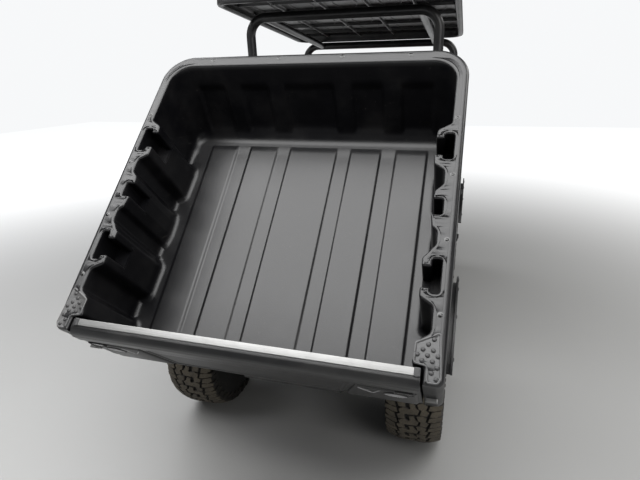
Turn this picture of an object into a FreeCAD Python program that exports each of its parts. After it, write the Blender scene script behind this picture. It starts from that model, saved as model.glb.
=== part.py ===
import FreeCAD, Part
import os
import math

V = FreeCAD.Vector

# Side by side utility vehicle with a tipping cargo bed, in millimetres.
# +X is the vehicle's right, +Y its front, +Z up. All sizes below are measured
# from the middle of the rear axle on the ground; everything is moved by SHIFT
# at the end so that the origin is under the middle of the whole vehicle.
# The rest pose has the bed tipped up with its tailgate shut.

# wheels and axles
AXLE_Z = 333.0              # axle height that every body size below is drawn for
TYRE_R = 333.0
TYRE_W = 236.0
TYRE_FLATS = 20
LUG_W = 62.0
BEAD_R = 158.0
HALF_TRACK = 522.0
WHEELBASE = 2040.0
HUB_R = 46.0
STUB_R = 20.0
FIT = 0.05                 # radial clearance of every turning pin
SEAT = 0.3                 # gap between a piece and what carries it
KINGPIN_X = 395.0
KINGPIN_R = 9.0
KNUCKLE_PLATE = (432.0, 458.0)
DISC_X = 474.0
STEER_ARM = 90.0
TIE_GAP = 8.0
TIE_R = 10.0
TIE_Z = AXLE_Z + 24.0 + TIE_GAP + 14.0
ARM_EYE_DZ = 130.0         # arm eyes above and below the axle
REAR_BALL_X = 408.0
SHOCK_PIN_R = 12.0
SHOCK_DY = 54.0
SHOCK_FEET = ((300.0, 276.0), (320.0, 286.0))     # x, z of the lower spring pins, front and rear
WINCH_X, WINCH_Y = 254.0, 114.3      # hole spacing of the winch plate
WINCH_MID_Y = WHEELBASE + 195.0

# frame
RAIL_Z0, RAIL_Z1 = 250.0, 310.0
KICK_Y, KICK_Z0, KICK_Z1 = -140.0, 362.0, 412.0    # the rear rails rise from here to their end
TOWER_TOP = 740.0          # top of the front spring towers
TOWER_SPREAD = 150.0       # tower legs ahead of and behind each axle
REAR_RAIL_X, MID_RAIL_X, FRONT_RAIL_X = 200.0, 330.0, 160.0
RAIL_W = 40.0
FRAME_REAR_Y, FRAME_FRONT_Y = -340.0, WHEELBASE + 320.0
CAB_FLOOR_Y0, CAB_FLOOR_Y1 = 380.0, WHEELBASE - 440.0     # rear and front cross members of the cab
DECK_RAIL_Z = 780.0        # middle of the upper rails under the bed
LAMP_BAR_Y = -402.0

# tipping bed, described in its lowered place
BED_TILT = 44.6            # degrees, the pose it rests in
PIVOT_Y, PIVOT_Z = -315.0, 824.0
PIVOT_PIN_R = 12.0
BED_REAR_Y = -661.0        # inner top edge of the shut tailgate
RIM_Z, FLOOR_Z = 1234.0, 914.0
BED_HALF = 640.0
BED_FRONT = 1206.0         # outer front edge, ahead of BED_REAR_Y
BED_BACK = -45.0           # rear end of the side rims
SKIN = 5.0
FLOOR_START = 8.0
WALL_FOOT, WALL_HEAD = 1024.0, 1146.0
CHANNELS = ((103.0, 176.0), (296.0, 372.0))
CHANNEL_D = 7.0
BED_RAIL_X = 250.0

# inner outline of the rim: distance ahead of the tailgate, width of the rim there
RIM_LINE = (
    (FLOOR_START, 95.0), (84.0, 74.0), (101.0, 49.0), (178.0, 50.0), (203.0, 92.0),
    (332.0, 95.0), (356.0, 75.0), (363.0, 72.0), (379.0, 58.0), (424.0, 59.0),
    (438.0, 76.0), (483.0, 83.0), (541.0, 82.0), (574.0, 78.0), (600.0, 53.0),
    (651.0, 54.0), (676.0, 91.0), (784.0, 93.0), (821.0, 89.0), (850.0, 44.0),
    (1052.0, 44.0), (1110.0, 68.0), (1146.0, 116.0), (1156.0, 170.0),
)
# pockets in the rim: head from, head to, rim left inside it, rim left outside it, throat from, throat to
POCKETS = (
    (220.0, 330.0, 63.0, 35.0, 237.0, 303.0),
    (485.0, 541.0, 88.0, 49.0, 485.0, 541.0),
    (699.0, 803.0, 63.0, 31.0, 716.0, 784.0),
)
POCKET_D = 118.0
RIM_ROUND = 14.0               # rolled outer edge of the rim
POST_W = 58.0                  # rear corner posts beside the tailgate
# outline of a studded pad: distance ahead of the tailgate, distance in from the side
PAD_LINE = ((108.0, 20.0), (-20.0, 17.0), (-30.0, 26.0), (-30.0, 50.0),
            (6.0, 52.0), (10.0, 91.0), (70.0, 91.0))
PAD_T = 3.0

# tailgate, in the lowered bed
GATE_HALF = BED_HALF - POST_W - 6.0
GATE_T = 58.0
GATE_TOP, GATE_FOOT = 1231.0, 912.0
HINGE_BACK, HINGE_Z = 22.0, 925.0
GATE_PIN_R = 8.0
STRIP_HALF, STRIP_W = GATE_HALF - 11.0, 23.0

# gas strut of the bed
STRUT_X = 158.0
STRUT_FOOT = (-70.0, 500.0)    # y, z of its lower pin
STRUT_EYE = (-60.0, 846.0)     # y, z of the bed bracket with the bed lowered
STRUT_TUBE_R, STRUT_ROD_R = 14.0, 5.0
STRUT_TUBE_L = 318.0

# cab
CAGE_R = 24.0
HOOP_TOP_Y = 545.0             # top of the rear hoop
CAB_HALF = 559.7
REAR_POST_X, REAR_POST_Y = CAB_HALF - 73.7, 590.0
FRONT_POST_X, FRONT_HOOP_Y = CAB_HALF - 34.7, WHEELBASE - 402.0
FRONT_FOOT_X, FRONT_FOOT_Y = CAB_HALF + 0.3, CAB_FLOOR_Y1 - 21.0
DASH_BAR_Y, DASH_BAR_Z = WHEELBASE - 302.0, 905.0
DASH_BAR_R = 18.0
ROOF_FRONT_Y, ROOF_REAR_Y = WHEELBASE - 400.0, 300.0
ROOF_HALF = CAB_HALF + 20.3
ROOF_FRONT_Z = 1856.0
ROOF_SLOPE = 4.5               # degrees, rising to the rear
ROOF_H, ROOF_LIP = 52.0, 30.0  # height of the roof panel and width of its rolled edge
HOOD_REST_Z = 967.0
FLOOR_PAN_Z = 345.0
SEAT_X, SEAT_W = CAB_HALF / 2 + 38.15, CAB_HALF - 79.7
PEDESTAL_Y = 1160.0            # front face of the box under the seats
CONSOLE_SHARE = 0.364          # part of the footwell's length that the console takes
WHEEL_POS = (-SEAT_X, WHEELBASE - 705.0, 1015.0)
COLUMN_TILT = 40.0             # degrees below level, going forward
STEER_R = 175.0
COLUMN_END = (-90.0, WHEELBASE - 160.0, 430.0)

# doors
ROCKER_X0, ROCKER_X1 = CAB_HALF + SEAT, CAB_HALF + 80.3
DOOR_X0, DOOR_X1 = ROCKER_X0 + 42.0, ROCKER_X0 + 66.0
DOOR_Y0, DOOR_Y1 = 660.0, CAB_FLOOR_Y1 - 65.0
DOOR_Z0, DOOR_Z1 = 392.0, 900.0
DOOR_HINGE = (ROCKER_X1, CAB_FLOOR_Y1 - 40.0)
DOOR_PIN_R = 6.0
DOOR_HINGE_Z = (470.0, 810.0)

# front body
NOSE_Y = WHEELBASE + 340.0
BUMPER_Y = WHEELBASE + 400.0
BUMPER_HALF = 290.0
ARCH_FRONT_R, ARCH_REAR_R = TYRE_R + 99.0, TYRE_R + 65.0
FENDER_X = HALF_TRACK + TYRE_W / 2 + 24.0
ARCH_IN = HALF_TRACK - TYRE_W / 2 - 2.0        # inner edge of the sheets over the wheels
HOOD_HALF = ARCH_IN - 10.0
COWL_X0, COWL_X1 = ROCKER_X0 + 40.0, ROCKER_X1
LAMP_Z0, LAMP_Z1 = 610.0, 690.0
LAMP_X0, LAMP_X1 = ARCH_IN - 140.0, ARCH_IN - 2.0


def box(x0, x1, y0, y1, z0, z1):
    return Part.makeBox(x1 - x0, y1 - y0, z1 - z0, V(x0, y0, z0))


def cyl(r, start, end):
    a, b = V(*start), V(*end)
    return Part.makeCylinder(r, (b - a).Length, a, b - a)


def mirror(shape):
    return shape.mirror(V(0, 0, 0), V(1, 0, 0))


def both(shape):
    return [shape, mirror(shape)]


def fuse(shapes):
    whole = shapes[0]
    if len(shapes) > 1:
        whole = whole.fuse(shapes[1:])
    return whole.removeSplitter()


def group(shapes):
    solids = []
    for shape in shapes:
        solids.extend(shape.Solids)
    return Part.makeCompound(solids)


def prism(points, vector):
    pts = [V(*p) for p in points]
    return Part.Face(Part.makePolygon(pts + [pts[0]])).extrude(V(*vector))


def side_prism(points, x0, x1):
    return prism([(x0, y, z) for y, z in points], (x1 - x0, 0, 0))


def tube(points, r, bend=60.0):
    """Round bar along a chain of points with bends of one radius."""
    pts = [V(*p) for p in points]
    edges, start = [], pts[0]
    for i in range(1, len(pts) - 1):
        a, b, c = pts[i - 1], pts[i], pts[i + 1]
        u, w = (a - b).normalize(), (c - b).normalize()
        turn = math.pi - u.getAngle(w)
        if turn < 0.02:
            continue
        cut = bend * math.tan(turn / 2)
        p, q = b + u * cut, b + w * cut
        mid = (u + w).normalize()
        centre = b + mid * (bend / math.cos(turn / 2))
        edges.append(Part.LineSegment(start, p).toShape())
        edges.append(Part.Arc(p, centre - mid * bend, q).toShape())
        start = q
    edges.append(Part.LineSegment(start, pts[-1]).toShape())
    path = Part.Wire(edges)
    ring = Part.Wire(Part.makeCircle(r, pts[0], pts[1] - pts[0]))
    return path.makePipeShell([ring], True, False)


def rounded(x0, x1, y0, y1, z0, z1, r):
    """Block with rounded upright corners."""
    block = box(x0, x1, y0, y1, z0, z1)
    upright = [e for e in block.Edges if abs(e.tangentAt(e.FirstParameter).z) > 0.9]
    return block.makeFillet(r, upright)


def soften_top(block, r):
    """Round the edges round a block's upper face."""
    top = block.BoundBox.ZMax - 0.1
    return block.makeFillet(r, [e for e in block.Edges if all(v.Z > top for v in e.Vertexes)])


def lathe(profile, origin):
    """Ring about the X axis from (x, radius) points around a centre."""
    ox, oy, oz = origin
    pts = [V(ox + x, oy, oz + r) for x, r in profile]
    face = Part.Face(Part.makePolygon(pts + [pts[0]]))
    return face.revolve(V(ox, oy, oz), V(1, 0, 0), 360)


def raise_bed(shape):
    out = shape.copy()
    out.rotate(V(0, PIVOT_Y, PIVOT_Z), V(1, 0, 0), BED_TILT)
    return out


def raised(y, z):
    """Place of a point of the lowered bed once it is tipped up."""
    a = math.radians(BED_TILT)
    dy, dz = y - PIVOT_Y, z - PIVOT_Z
    return (PIVOT_Y + dy * math.cos(a) - dz * math.sin(a),
            PIVOT_Z + dy * math.sin(a) + dz * math.cos(a))


# wheels

def tyre_point(side, y, x, r, angle):
    a = math.radians(angle)
    return V(side * (HALF_TRACK + x), y + r * math.sin(a), AXLE_Z - r * math.cos(a))


def tyre(side, y):
    """Flat sided carcass with a lug on every flat that runs from past the middle to alternate shoulders."""
    h, r = TYRE_W / 2, TYRE_R
    bead = BEAD_R / math.cos(math.pi / TYRE_FLATS)
    # distance outwards from the middle of the tread, radius
    half = ((h - 44, r - 12), (h - 18, r - 28), (h - 6, r - 62), (h, bead + 60), (h - 6, bead),
            (h - 18, bead), (h - 16, r - 76), (h - 52, r - 28))
    section = [(-x, z) for x, z in reversed(half[:5])] + list(half) + [(-x, z) for x, z in reversed(half[5:])]
    step = 360.0 / TYRE_FLATS
    rings = [[tyre_point(side, y, x, z, (i - 0.5) * step) for x, z in section] for i in range(TYRE_FLATS)]
    faces = []
    for i, ring in enumerate(rings):
        after = rings[(i + 1) % TYRE_FLATS]
        for j, a in enumerate(ring):
            k = (j + 1) % len(ring)
            faces.append(Part.Face(Part.makePolygon([a, ring[k], after[k], after[j], a])))
    carcass = Part.makeSolid(Part.makeShell(faces))
    if carcass.Volume < 0:
        carcass.reverse()
    lug = ((-14, r - 26), (-14, r), (h - 42, r), (h - 5, r - 34), (h - 24, r - 60))
    lugs = []
    for i in range(TYRE_FLATS):
        hand = side if i % 2 else -side
        corners = [(side * HALF_TRACK + hand * x, y - LUG_W / 2, AXLE_Z - z) for x, z in lug]
        block = prism(corners, (0, LUG_W, 0))
        block.rotate(V(0, y, AXLE_Z), V(1, 0, 0), i * step)
        lugs.append(block)
    return carcass.fuse(lugs).removeSplitter()


def rim(side, y):
    h = TYRE_W / 2
    x = side * HALF_TRACK
    s = side
    barrel = lathe(((s * (-h + 6), BEAD_R - 0.4), (s * (h - 6), BEAD_R - 0.4), (s * (h - 6), BEAD_R - 14),
                    (s * (h - 30), BEAD_R - 14), (s * 30, BEAD_R - 26), (s * (-h + 30), BEAD_R - 16),
                    (s * (-h + 6), BEAD_R - 16)), (x, y, AXLE_Z))
    face = lathe(((s * 52, 30.0), (s * 40, BEAD_R - 22), (s * 48, BEAD_R - 18), (s * 62, 30.0)),
                 (x, y, AXLE_Z))
    windows = []
    for i in range(7):
        a = 360.0 / 7 * i
        slot = Part.makeBox(60, 56, 62, V(x + s * 50 - 30, y - 28, AXLE_Z + 62))
        slot = slot.makeFillet(16, [e for e in slot.Edges
                                    if abs(e.tangentAt(e.FirstParameter).x) > 0.9])
        slot.rotate(V(x, y, AXLE_Z), V(1, 0, 0), a)
        windows.append(slot)
    face = face.cut(windows)
    inner, outer = DISC_X - HALF_TRACK, 66.0
    hub = cyl(HUB_R, (x + s * inner, y, AXLE_Z), (x + s * outer, y, AXLE_Z))
    disc = cyl(108.0, (x + s * inner, y, AXLE_Z), (x + s * (inner + 6), y, AXLE_Z))
    bore = cyl(STUB_R + FIT, (x + s * (inner - 1), y, AXLE_Z), (x + s * 46, y, AXLE_Z))
    return fuse([barrel, face, hub, disc]).cut(bore).removeSplitter()


def stub(side, y, x0):
    return cyl(STUB_R, (side * x0, y, AXLE_Z), (side * (HALF_TRACK + 44), y, AXLE_Z))


# running gear

def knuckle(side):
    y, z = WHEELBASE, AXLE_Z
    x0, x1 = KNUCKLE_PLATE
    parts = [box(x0, x1, y - 38, y + 38, z - 105, z + 105)]
    for z0, z1 in ((z - 105, z - 77), (z + 77, z + 105)):
        parts.append(rounded(KINGPIN_X - 24, x1, y - 24, y + 24, z0, z1, 14))
    parts.append(box(KINGPIN_X - 14, x1, y - STEER_ARM - 15, y - 35, z + 8, z + 24))
    body = fuse([p if side > 0 else mirror(p) for p in parts] + [stub(side, y, x0)])
    pins = cyl(KINGPIN_R + FIT, (side * KINGPIN_X, y, z - 110), (side * KINGPIN_X, y, z + 110))
    return body.cut(pins)


def a_arm(y, rail_x, ball_x, z_in, z_out, spread, pin, bar=None):
    """Two legs from the frame to an outer eye with its ball stud, and a bar for a spring."""
    x_in = rail_x + RAIL_W / 2 + 20 + SEAT
    legs = [tube(((x_in + 1, y + k * spread, z_in), (ball_x, y, z_out)), 11.0) for k in (-1, 1)]
    legs += [cyl(20.0, (x_in, y + k * spread - 18, z_in), (x_in, y + k * spread + 18, z_in))
             for k in (-1, 1)]
    eye = cyl(20.0, (ball_x, y, z_out - 9), (ball_x, y, z_out + 9))
    stud = cyl(KINGPIN_R, (ball_x, y, pin[0]), (ball_x, y, pin[1]))
    parts = legs + [eye, stud]
    if bar:
        x, z = bar
        mid = y + SHOCK_DY
        parts += [box(x - 15, x + 15, mid - 28, mid + 28, z - 46, z - 24),
                  cyl(SHOCK_PIN_R, (x, mid - 28, z), (x, mid + 28, z))]
        parts += [box(x - 15, x + 15, mid + k - 4, mid + k + 4, z - 40, z + 14) for k in (-24, 24)]
    return fuse(parts)


def suspension_arms():
    z, eye = AXLE_Z, ARM_EYE_DZ
    f, r = WHEELBASE, 0.0
    arms = [
        a_arm(f, FRONT_RAIL_X, KINGPIN_X, z - 64, z - eye, 110.0, (z - eye, z - 79), SHOCK_FEET[0]),
        a_arm(f, FRONT_RAIL_X, KINGPIN_X, z + 80, z + eye, TOWER_SPREAD, (z + 79, z + eye)),
        a_arm(r, REAR_RAIL_X, REAR_BALL_X, z - 64, z - eye, 110.0, (z - eye, z - 88 - SEAT), SHOCK_FEET[1]),
        a_arm(r, REAR_RAIL_X, REAR_BALL_X, z + 80, z + eye, TOWER_SPREAD, (z + 88 + SEAT, z + eye)),
    ]
    return group([piece for arm in arms for piece in both(arm)])


def rear_hubs():
    z = AXLE_Z
    body = fuse([box(396, 458, -40, 40, z - 88, z + 88), stub(1, 0.0, 430)])
    body = body.cut(cyl(30.0, (380, 0, z), (430, 0, z)))
    return group(both(body))


def shocks():
    out = []
    for y, rail_x, foot in ((WHEELBASE, FRONT_RAIL_X, SHOCK_FEET[0]), (0.0, REAR_RAIL_X, SHOCK_FEET[1])):
        a = V(foot[0], y + SHOCK_DY, foot[1])
        b = V(rail_x + RAIL_W / 2 + 15 + SEAT, y + SHOCK_DY, 670)
        d = (b - a).normalize()
        at = lambda t: tuple(a + d * t)
        length = (b - a).Length
        parts = [cyl(10.0, at(10), at(length - 5)), cyl(22.0, at(length * 0.5), at(length - 30)),
                 cyl(34.0, at(60), at(68)), cyl(34.0, at(length - 74), at(length - 66)),
                 cyl(20.0, (a.x, a.y - 16, a.z), (a.x, a.y + 16, a.z)),
                 cyl(15.0, (b.x, b.y - 16, b.z), (b.x, b.y + 16, b.z))]
        ring = cyl(SHOCK_PIN_R + SEAT, (a.x, a.y - 17, a.z), (a.x, a.y + 17, a.z))
        out += both(fuse(parts).cut(ring))
    return group(out)


def half_shafts():
    z = AXLE_Z
    fx, rx = 117 + SEAT, 139 + SEAT
    front = fuse([cyl(13.0, (fx, WHEELBASE, z), (KINGPIN_X, WHEELBASE, z)),
                  Part.makeSphere(28.0, V(KINGPIN_X, WHEELBASE, z)),
                  Part.makeCone(22.0, 17.0, 60, V(fx, WHEELBASE, z), V(1, 0, 0))])
    rear = fuse([cyl(13.0, (rx, 0, z), (420, 0, z)), cyl(27.0, (360, 0, z), (430 - SEAT, 0, z)),
                 Part.makeCone(22.0, 17.0, 60, V(rx, 0, z), V(1, 0, 0))])
    return group(both(front) + both(rear))


def drivetrain():
    """Front and rear gear cases and the shaft between them."""
    z = AXLE_Z
    front = fuse([rounded(-100, 100, WHEELBASE - 62, WHEELBASE + 70, z - 75, z + 80, 26),
                  cyl(32.0, (-117, WHEELBASE, z), (117, WHEELBASE, z)),
                  box(-139.7, 139.7, WHEELBASE - 15, WHEELBASE + 15, 262, 292)])
    rear = fuse([rounded(-120, 120, -150, 160, z - 70, z + 150, 36),
                 cyl(38.0, (-139, 0, z), (139, 0, z)),
                 box(-179.7, 179.7, 100, 130, 270, 300)])
    shaft = cyl(12.0, (0, 160 + SEAT, 328), (0, WHEELBASE - 62 - SEAT, 328))
    return group([front, rear, shaft])


def engine():
    block = rounded(-160, 160, 190, 540, 400, 740, 30)
    feet = both(box(90, 140, 383, 417, RAIL_Z1 + SEAT, 402))
    return fuse([block] + feet)


def exhaust():
    can = cyl(75.0, (-130, -250, 600), (150, -250, 600))
    pipe = tube(((90, -250, 600), (90, -250, 480), (90, -380, 450)), 20.0, 50.0)
    link = tube(((-90, -250, 600), (-90, -250, 690), (-90, 190 - SEAT, 690)), 20.0, 50.0)
    return fuse([can, pipe, link])


# frame and cage

def bar(x, y0, y1, z0=RAIL_Z0, z1=RAIL_Z1):
    return box(x - RAIL_W / 2, x + RAIL_W / 2, y0, y1, z0, z1)


def chassis_frame():
    w = RAIL_W / 2
    z0, z1 = RAIL_Z0, RAIL_Z1
    y0, y1 = CAB_FLOOR_Y0, CAB_FLOOR_Y1
    lift = FLOOR_PAN_Z - SEAT
    half = [bar(REAR_RAIL_X, KICK_Y, y0 + RAIL_W), bar(MID_RAIL_X, y0, y1, lift - 60, lift),
            bar(FRONT_RAIL_X, y1 - RAIL_W, FRAME_FRONT_Y)]
    half.append(side_prism(((KICK_Y, z0), (KICK_Y, z1), (FRAME_REAR_Y + 55, KICK_Z1), (FRAME_REAR_Y, KICK_Z1),
                            (FRAME_REAR_Y, KICK_Z0)), REAR_RAIL_X - w, REAR_RAIL_X + w))
    half.append(box(0, MID_RAIL_X + w, y0, y0 + RAIL_W, z0, z1))
    half.append(box(0, ROCKER_X0 + 30, y1 - RAIL_W, y1, z0, z1))
    half.append(box(0, REAR_RAIL_X, FRAME_REAR_Y, FRAME_REAR_Y + RAIL_W, KICK_Z0, KICK_Z1))
    half.append(box(0, FRONT_RAIL_X, FRAME_FRONT_Y - RAIL_W, FRAME_FRONT_Y, z0, z1))
    half.append(box(0, ROCKER_X0 - SEAT, REAR_POST_Y - 24, REAR_POST_Y + 24, z0, z1))
    # uprights, upper rails and pivot plates of the rear bay
    top0, top1 = DECK_RAIL_Z - 20, DECK_RAIL_Z + 20
    for y, foot in ((PIVOT_Y, KICK_Z1 - 20), (350.0, z1)):
        half.append(bar(REAR_RAIL_X, y - 20, y + 20, foot, top0))
    half.append(bar(REAR_RAIL_X, PIVOT_Y - 20, REAR_POST_Y, top0, top1))
    half.append(box(0, REAR_RAIL_X, PIVOT_Y - 20, PIVOT_Y + 20, top0 - 60, top1 - 60))
    half.append(box(0, REAR_POST_X - CAGE_R - SEAT, REAR_POST_Y - 20, REAR_POST_Y + 20, top0, top1))
    half.append(side_prism(((PIVOT_Y - 36, top0 - 20), (PIVOT_Y + 36, top0 - 20), (PIVOT_Y + 26, PIVOT_Z + 18),
                            (PIVOT_Y + 12, PIVOT_Z + 30), (PIVOT_Y - 12, PIVOT_Z + 30),
                            (PIVOT_Y - 26, PIVOT_Z + 18)), 206, 220))
    half.append(cyl(PIVOT_PIN_R, (206, PIVOT_Y, PIVOT_Z), (262, PIVOT_Y, PIVOT_Z)))
    # rest pads of the bed and the lamp bar behind the frame
    half.append(box(180, 275, 330, 370, top0, top1))
    half.append(cyl(22.0, (BED_RAIL_X, 350, top1), (BED_RAIL_X, 350, 839)))
    half.append(box(0, 405, LAMP_BAR_Y, LAMP_BAR_Y + 28, 645, 685))
    half.append(bar(REAR_RAIL_X, LAMP_BAR_Y + 26, PIVOT_Y, 645, 685))
    # towers that carry the arms and springs
    for y, x, top in ((WHEELBASE, FRONT_RAIL_X, TOWER_TOP), (0.0, REAR_RAIL_X, top0)):
        for k in (-1, 1):
            yk = y + k * TOWER_SPREAD
            half.append(box(x - w, x + w, yk - 20, yk + 20, z1, top))
        half.append(box(x - w, x + w, y - TOWER_SPREAD, y + TOWER_SPREAD, 650, 690))
    yb = WHEELBASE - TOWER_SPREAD
    half.append(box(0, FRONT_RAIL_X, yb - 20, yb + 20, TOWER_TOP - 40, TOWER_TOP))
    half.append(box(90, 130, yb - 15, yb + 15, TOWER_TOP, HOOD_REST_Z))
    half.append(bar(REAR_RAIL_X, -TOWER_SPREAD, TOWER_SPREAD, z1 + 120, z1 + 150))
    frame = fuse(half)
    frame = fuse([frame, mirror(frame)])
    y, z = STRUT_FOOT
    fork = [box(x - 4, x + 4, y - 15, y + 15, z1 + 122, z + 16) for x in (STRUT_X - 18, STRUT_X + 18)]
    fork.append(box(STRUT_X - 22, REAR_RAIL_X, y - 15, y + 15, z1 + 122, z1 + 148))
    # housing of the steering rack on its cross member
    ry, rz = WHEELBASE - STEER_ARM, TIE_Z
    fork.append(box(-FRONT_RAIL_X, FRONT_RAIL_X, ry - 16, ry + 16, z0, z0 + 50))
    fork += both(box(55, 75, ry - 10, ry + 10, z0 + 50, rz - 12))
    fork.append(cyl(19.0, (-100, ry, rz), (100, ry, rz)))
    fork.append(box(-FRONT_RAIL_X, FRONT_RAIL_X, WINCH_MID_Y - 86, FRAME_FRONT_Y - 35, z1 - 6, z1))
    pin = cyl(6.0, (STRUT_X - 22, y, z), (STRUT_X + 22, y, z))
    frame = fuse([frame] + fork + [pin])
    holes = [cyl(TIE_R + FIT, (-101, ry, rz), (101, ry, rz))]
    holes += [cyl(5.5, (i * WINCH_X / 2, WINCH_MID_Y + j * WINCH_Y / 2, z1 - 10),
                  (i * WINCH_X / 2, WINCH_MID_Y + j * WINCH_Y / 2, z1 + 10)) for i in (-1, 1) for j in (-1, 1)]
    return frame.cut(holes)


def roof_z(y):
    return ROOF_FRONT_Z + (ROOF_FRONT_Y - y) * math.tan(math.radians(ROOF_SLOPE))


def cage():
    gap = CAGE_R + SEAT
    yr, yf = HOOP_TOP_Y, FRONT_HOOP_Y
    zr, zf = roof_z(yr) - gap, roof_z(yf) - gap
    foot = RAIL_Z1 + SEAT
    rear = tube(((-REAR_POST_X, REAR_POST_Y, foot), (-REAR_POST_X, REAR_POST_Y, 1240),
                 (-REAR_POST_X, yr, zr), (REAR_POST_X, yr, zr),
                 (REAR_POST_X, REAR_POST_Y, 1240), (REAR_POST_X, REAR_POST_Y, foot)), CAGE_R, 90.0)
    side = [(FRONT_FOOT_X, FRONT_FOOT_Y, foot - 12), (FRONT_FOOT_X, CAB_FLOOR_Y1, 560),
            (FRONT_FOOT_X, DASH_BAR_Y + 7, 864), (FRONT_POST_X, yf, zf)]
    front = tube([(-x, y, z) for x, y, z in side] + side[::-1], CAGE_R, 90.0)
    front = front.cut(box(-700, 700, CAB_FLOOR_Y1 - 100, CAB_FLOOR_Y1 + 60, foot - 40, foot))
    rail_x = REAR_POST_X - 86.0
    rails = [tube(((k * rail_x, yr, zr), (k * rail_x, yf, zf)), CAGE_R - 4) for k in (-1, 1)]
    brace = tube(((-REAR_POST_X, REAR_POST_Y, 1180), (REAR_POST_X, REAR_POST_Y, 1180)), CAGE_R - 4)
    x, y, z = FRONT_FOOT_X, DASH_BAR_Y, DASH_BAR_Z
    dash_bar = tube(((-x, y, z), (x, y, z)), DASH_BAR_R)
    return fuse([rear, front, brace, dash_bar] + rails)


def roof():
    """Moulded panel with a soft upper edge, a rolled lip below it and ribs across its underside."""
    y0, y1, half, h = ROOF_REAR_Y, ROOF_FRONT_Y, ROOF_HALF, ROOF_H
    block = soften_top(rounded(-half, half, y0, y1, 0, h, 90), 24)
    hollow = soften_top(rounded(-half + 5, half - 5, y0 + 5, y1 - 5, -1, h - 5, 85), 19)
    lip = rounded(-half, half, y0, y1, 0, 14, 90)
    lip = lip.cut(rounded(-half + ROOF_LIP, half - ROOF_LIP, y0 + ROOF_LIP, y1 - ROOF_LIP, -1, 15, 60))
    length = y1 - y0
    across = [y0 + length * k / 6 for k in range(1, 6)]
    ribs = [box(-half + 4, half - 4, y - 4, y + 4, 30, h - 4) for y in across]
    ribs += [box(half * k - 4, half * k + 4, y0 + 4, y1 - 4, 30, h - 4) for k in (-0.6, -0.2, 0.2, 0.6)]
    feet = both(box(280, 320, HOOP_TOP_Y - 20, HOOP_TOP_Y + 20, 0, h - 4))
    shell = fuse([block.cut(hollow), lip] + ribs + feet)
    shell.translate(V(0, -y1, 0))
    shell.rotate(V(0, 0, 0), V(1, 0, 0), -ROOF_SLOPE)
    shell.translate(V(0, y1, ROOF_FRONT_Z))
    return shell


# body panels

def strip_prism(points, t, x0, x1):
    """Sheet of thickness t laid on the upper side of a (y, z) line."""
    upper = []
    n = len(points)
    for i, (y, z) in enumerate(points):
        a = points[max(i - 1, 0)]
        b = points[min(i + 1, n - 1)]
        length = math.hypot(b[0] - a[0], b[1] - a[1])
        upper.append((y - (b[1] - a[1]) / length * t, z + (b[0] - a[0]) / length * t))
    return side_prism(list(points) + upper[::-1], x0, x1)


def floor_pan():
    """Cab floor, foot board between the front wheels and the bulkheads beside it."""
    z, y1, half = FLOOR_PAN_Z, CAB_FLOOR_Y1, CAB_HALF - 29.7
    pan = box(-CAB_HALF, CAB_HALF, 470, y1, z, z + 4)
    toe = strip_prism(((y1 - 3, z), (y1 + 55, 620), (y1 + 100, 860)), 4.0, -190, 190)
    wings = strip_prism(((y1 - 3, z), (y1 - 3, 560), (y1 + 40, 860)), 4.0, -half, half)
    wings = wings.cut(box(-188, 188, y1 - 100, y1 + 100, z + 6, 900))
    cheek = side_prism(((y1 - 6, z), (y1 - 6, 560), (y1 + 40, 860), (y1 + 98, 858), (y1 + 53, 620), (y1, z)),
                       186, 190)
    body = fuse([pan, toe, wings] + both(cheek))
    foot = cyl(CAGE_R + 2, (FRONT_FOOT_X, y1 - 20, 300), (FRONT_FOOT_X, y1 - 6, 475))
    post = cyl(CAGE_R + 2, (REAR_POST_X, REAR_POST_Y, 300), (REAR_POST_X, REAR_POST_Y, 480))
    return body.cut(both(foot) + both(post) + [cyl(18.0, along(345), COLUMN_END)])


def skid_plate():
    top = RAIL_Z0 - SEAT
    low = box(-345, 345, CAB_FLOOR_Y0 + 5, CAB_FLOOR_Y1 - 5, top - 4, top)
    return fuse([low, box(-178, 178, CAB_FLOOR_Y1 - 10, FRAME_FRONT_Y - 10, top - 4, top)])


def seat_pedestal():
    """Hollow riser under both seats and the panel behind them."""
    z, y1 = FLOOR_PAN_Z + 4 + SEAT, PEDESTAL_Y
    back = box(-CAB_HALF, CAB_HALF, 628, 634, z, 1130)
    top = box(-CAB_HALF, CAB_HALF, 632, y1, 596, 602)
    front = box(-CAB_HALF, CAB_HALF, y1 - 4, y1, z, 598)
    ends = both(box(CAB_HALF - 5, CAB_HALF, 632, y1 - 2, z, 598))
    body = fuse([back, top, front] + ends)
    return body.cut(box(-90, 90, y1 - 10, y1 + 10, 390, 560))


def seats():
    out = []
    z = 602 + SEAT
    y = 634 + SEAT
    for x in (-SEAT_X, SEAT_X):
        a, b = x - SEAT_W / 2, x + SEAT_W / 2
        base = side_prism(((690, z), (1185, z), (1195, 690), (1150, 722), (690, 700)), a, b)
        back = side_prism(((y, 706), (760, 706), (742, 1010), (718, 1290), (655, 1300), (y, 1110)), a, b)
        out += [base.makeFillet(18, [e for e in base.Edges if abs(e.tangentAt(e.FirstParameter).x) > 0.9]),
                back.makeFillet(16, [e for e in back.Edges if abs(e.tangentAt(e.FirstParameter).x) > 0.9])]
    return group(out)


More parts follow.
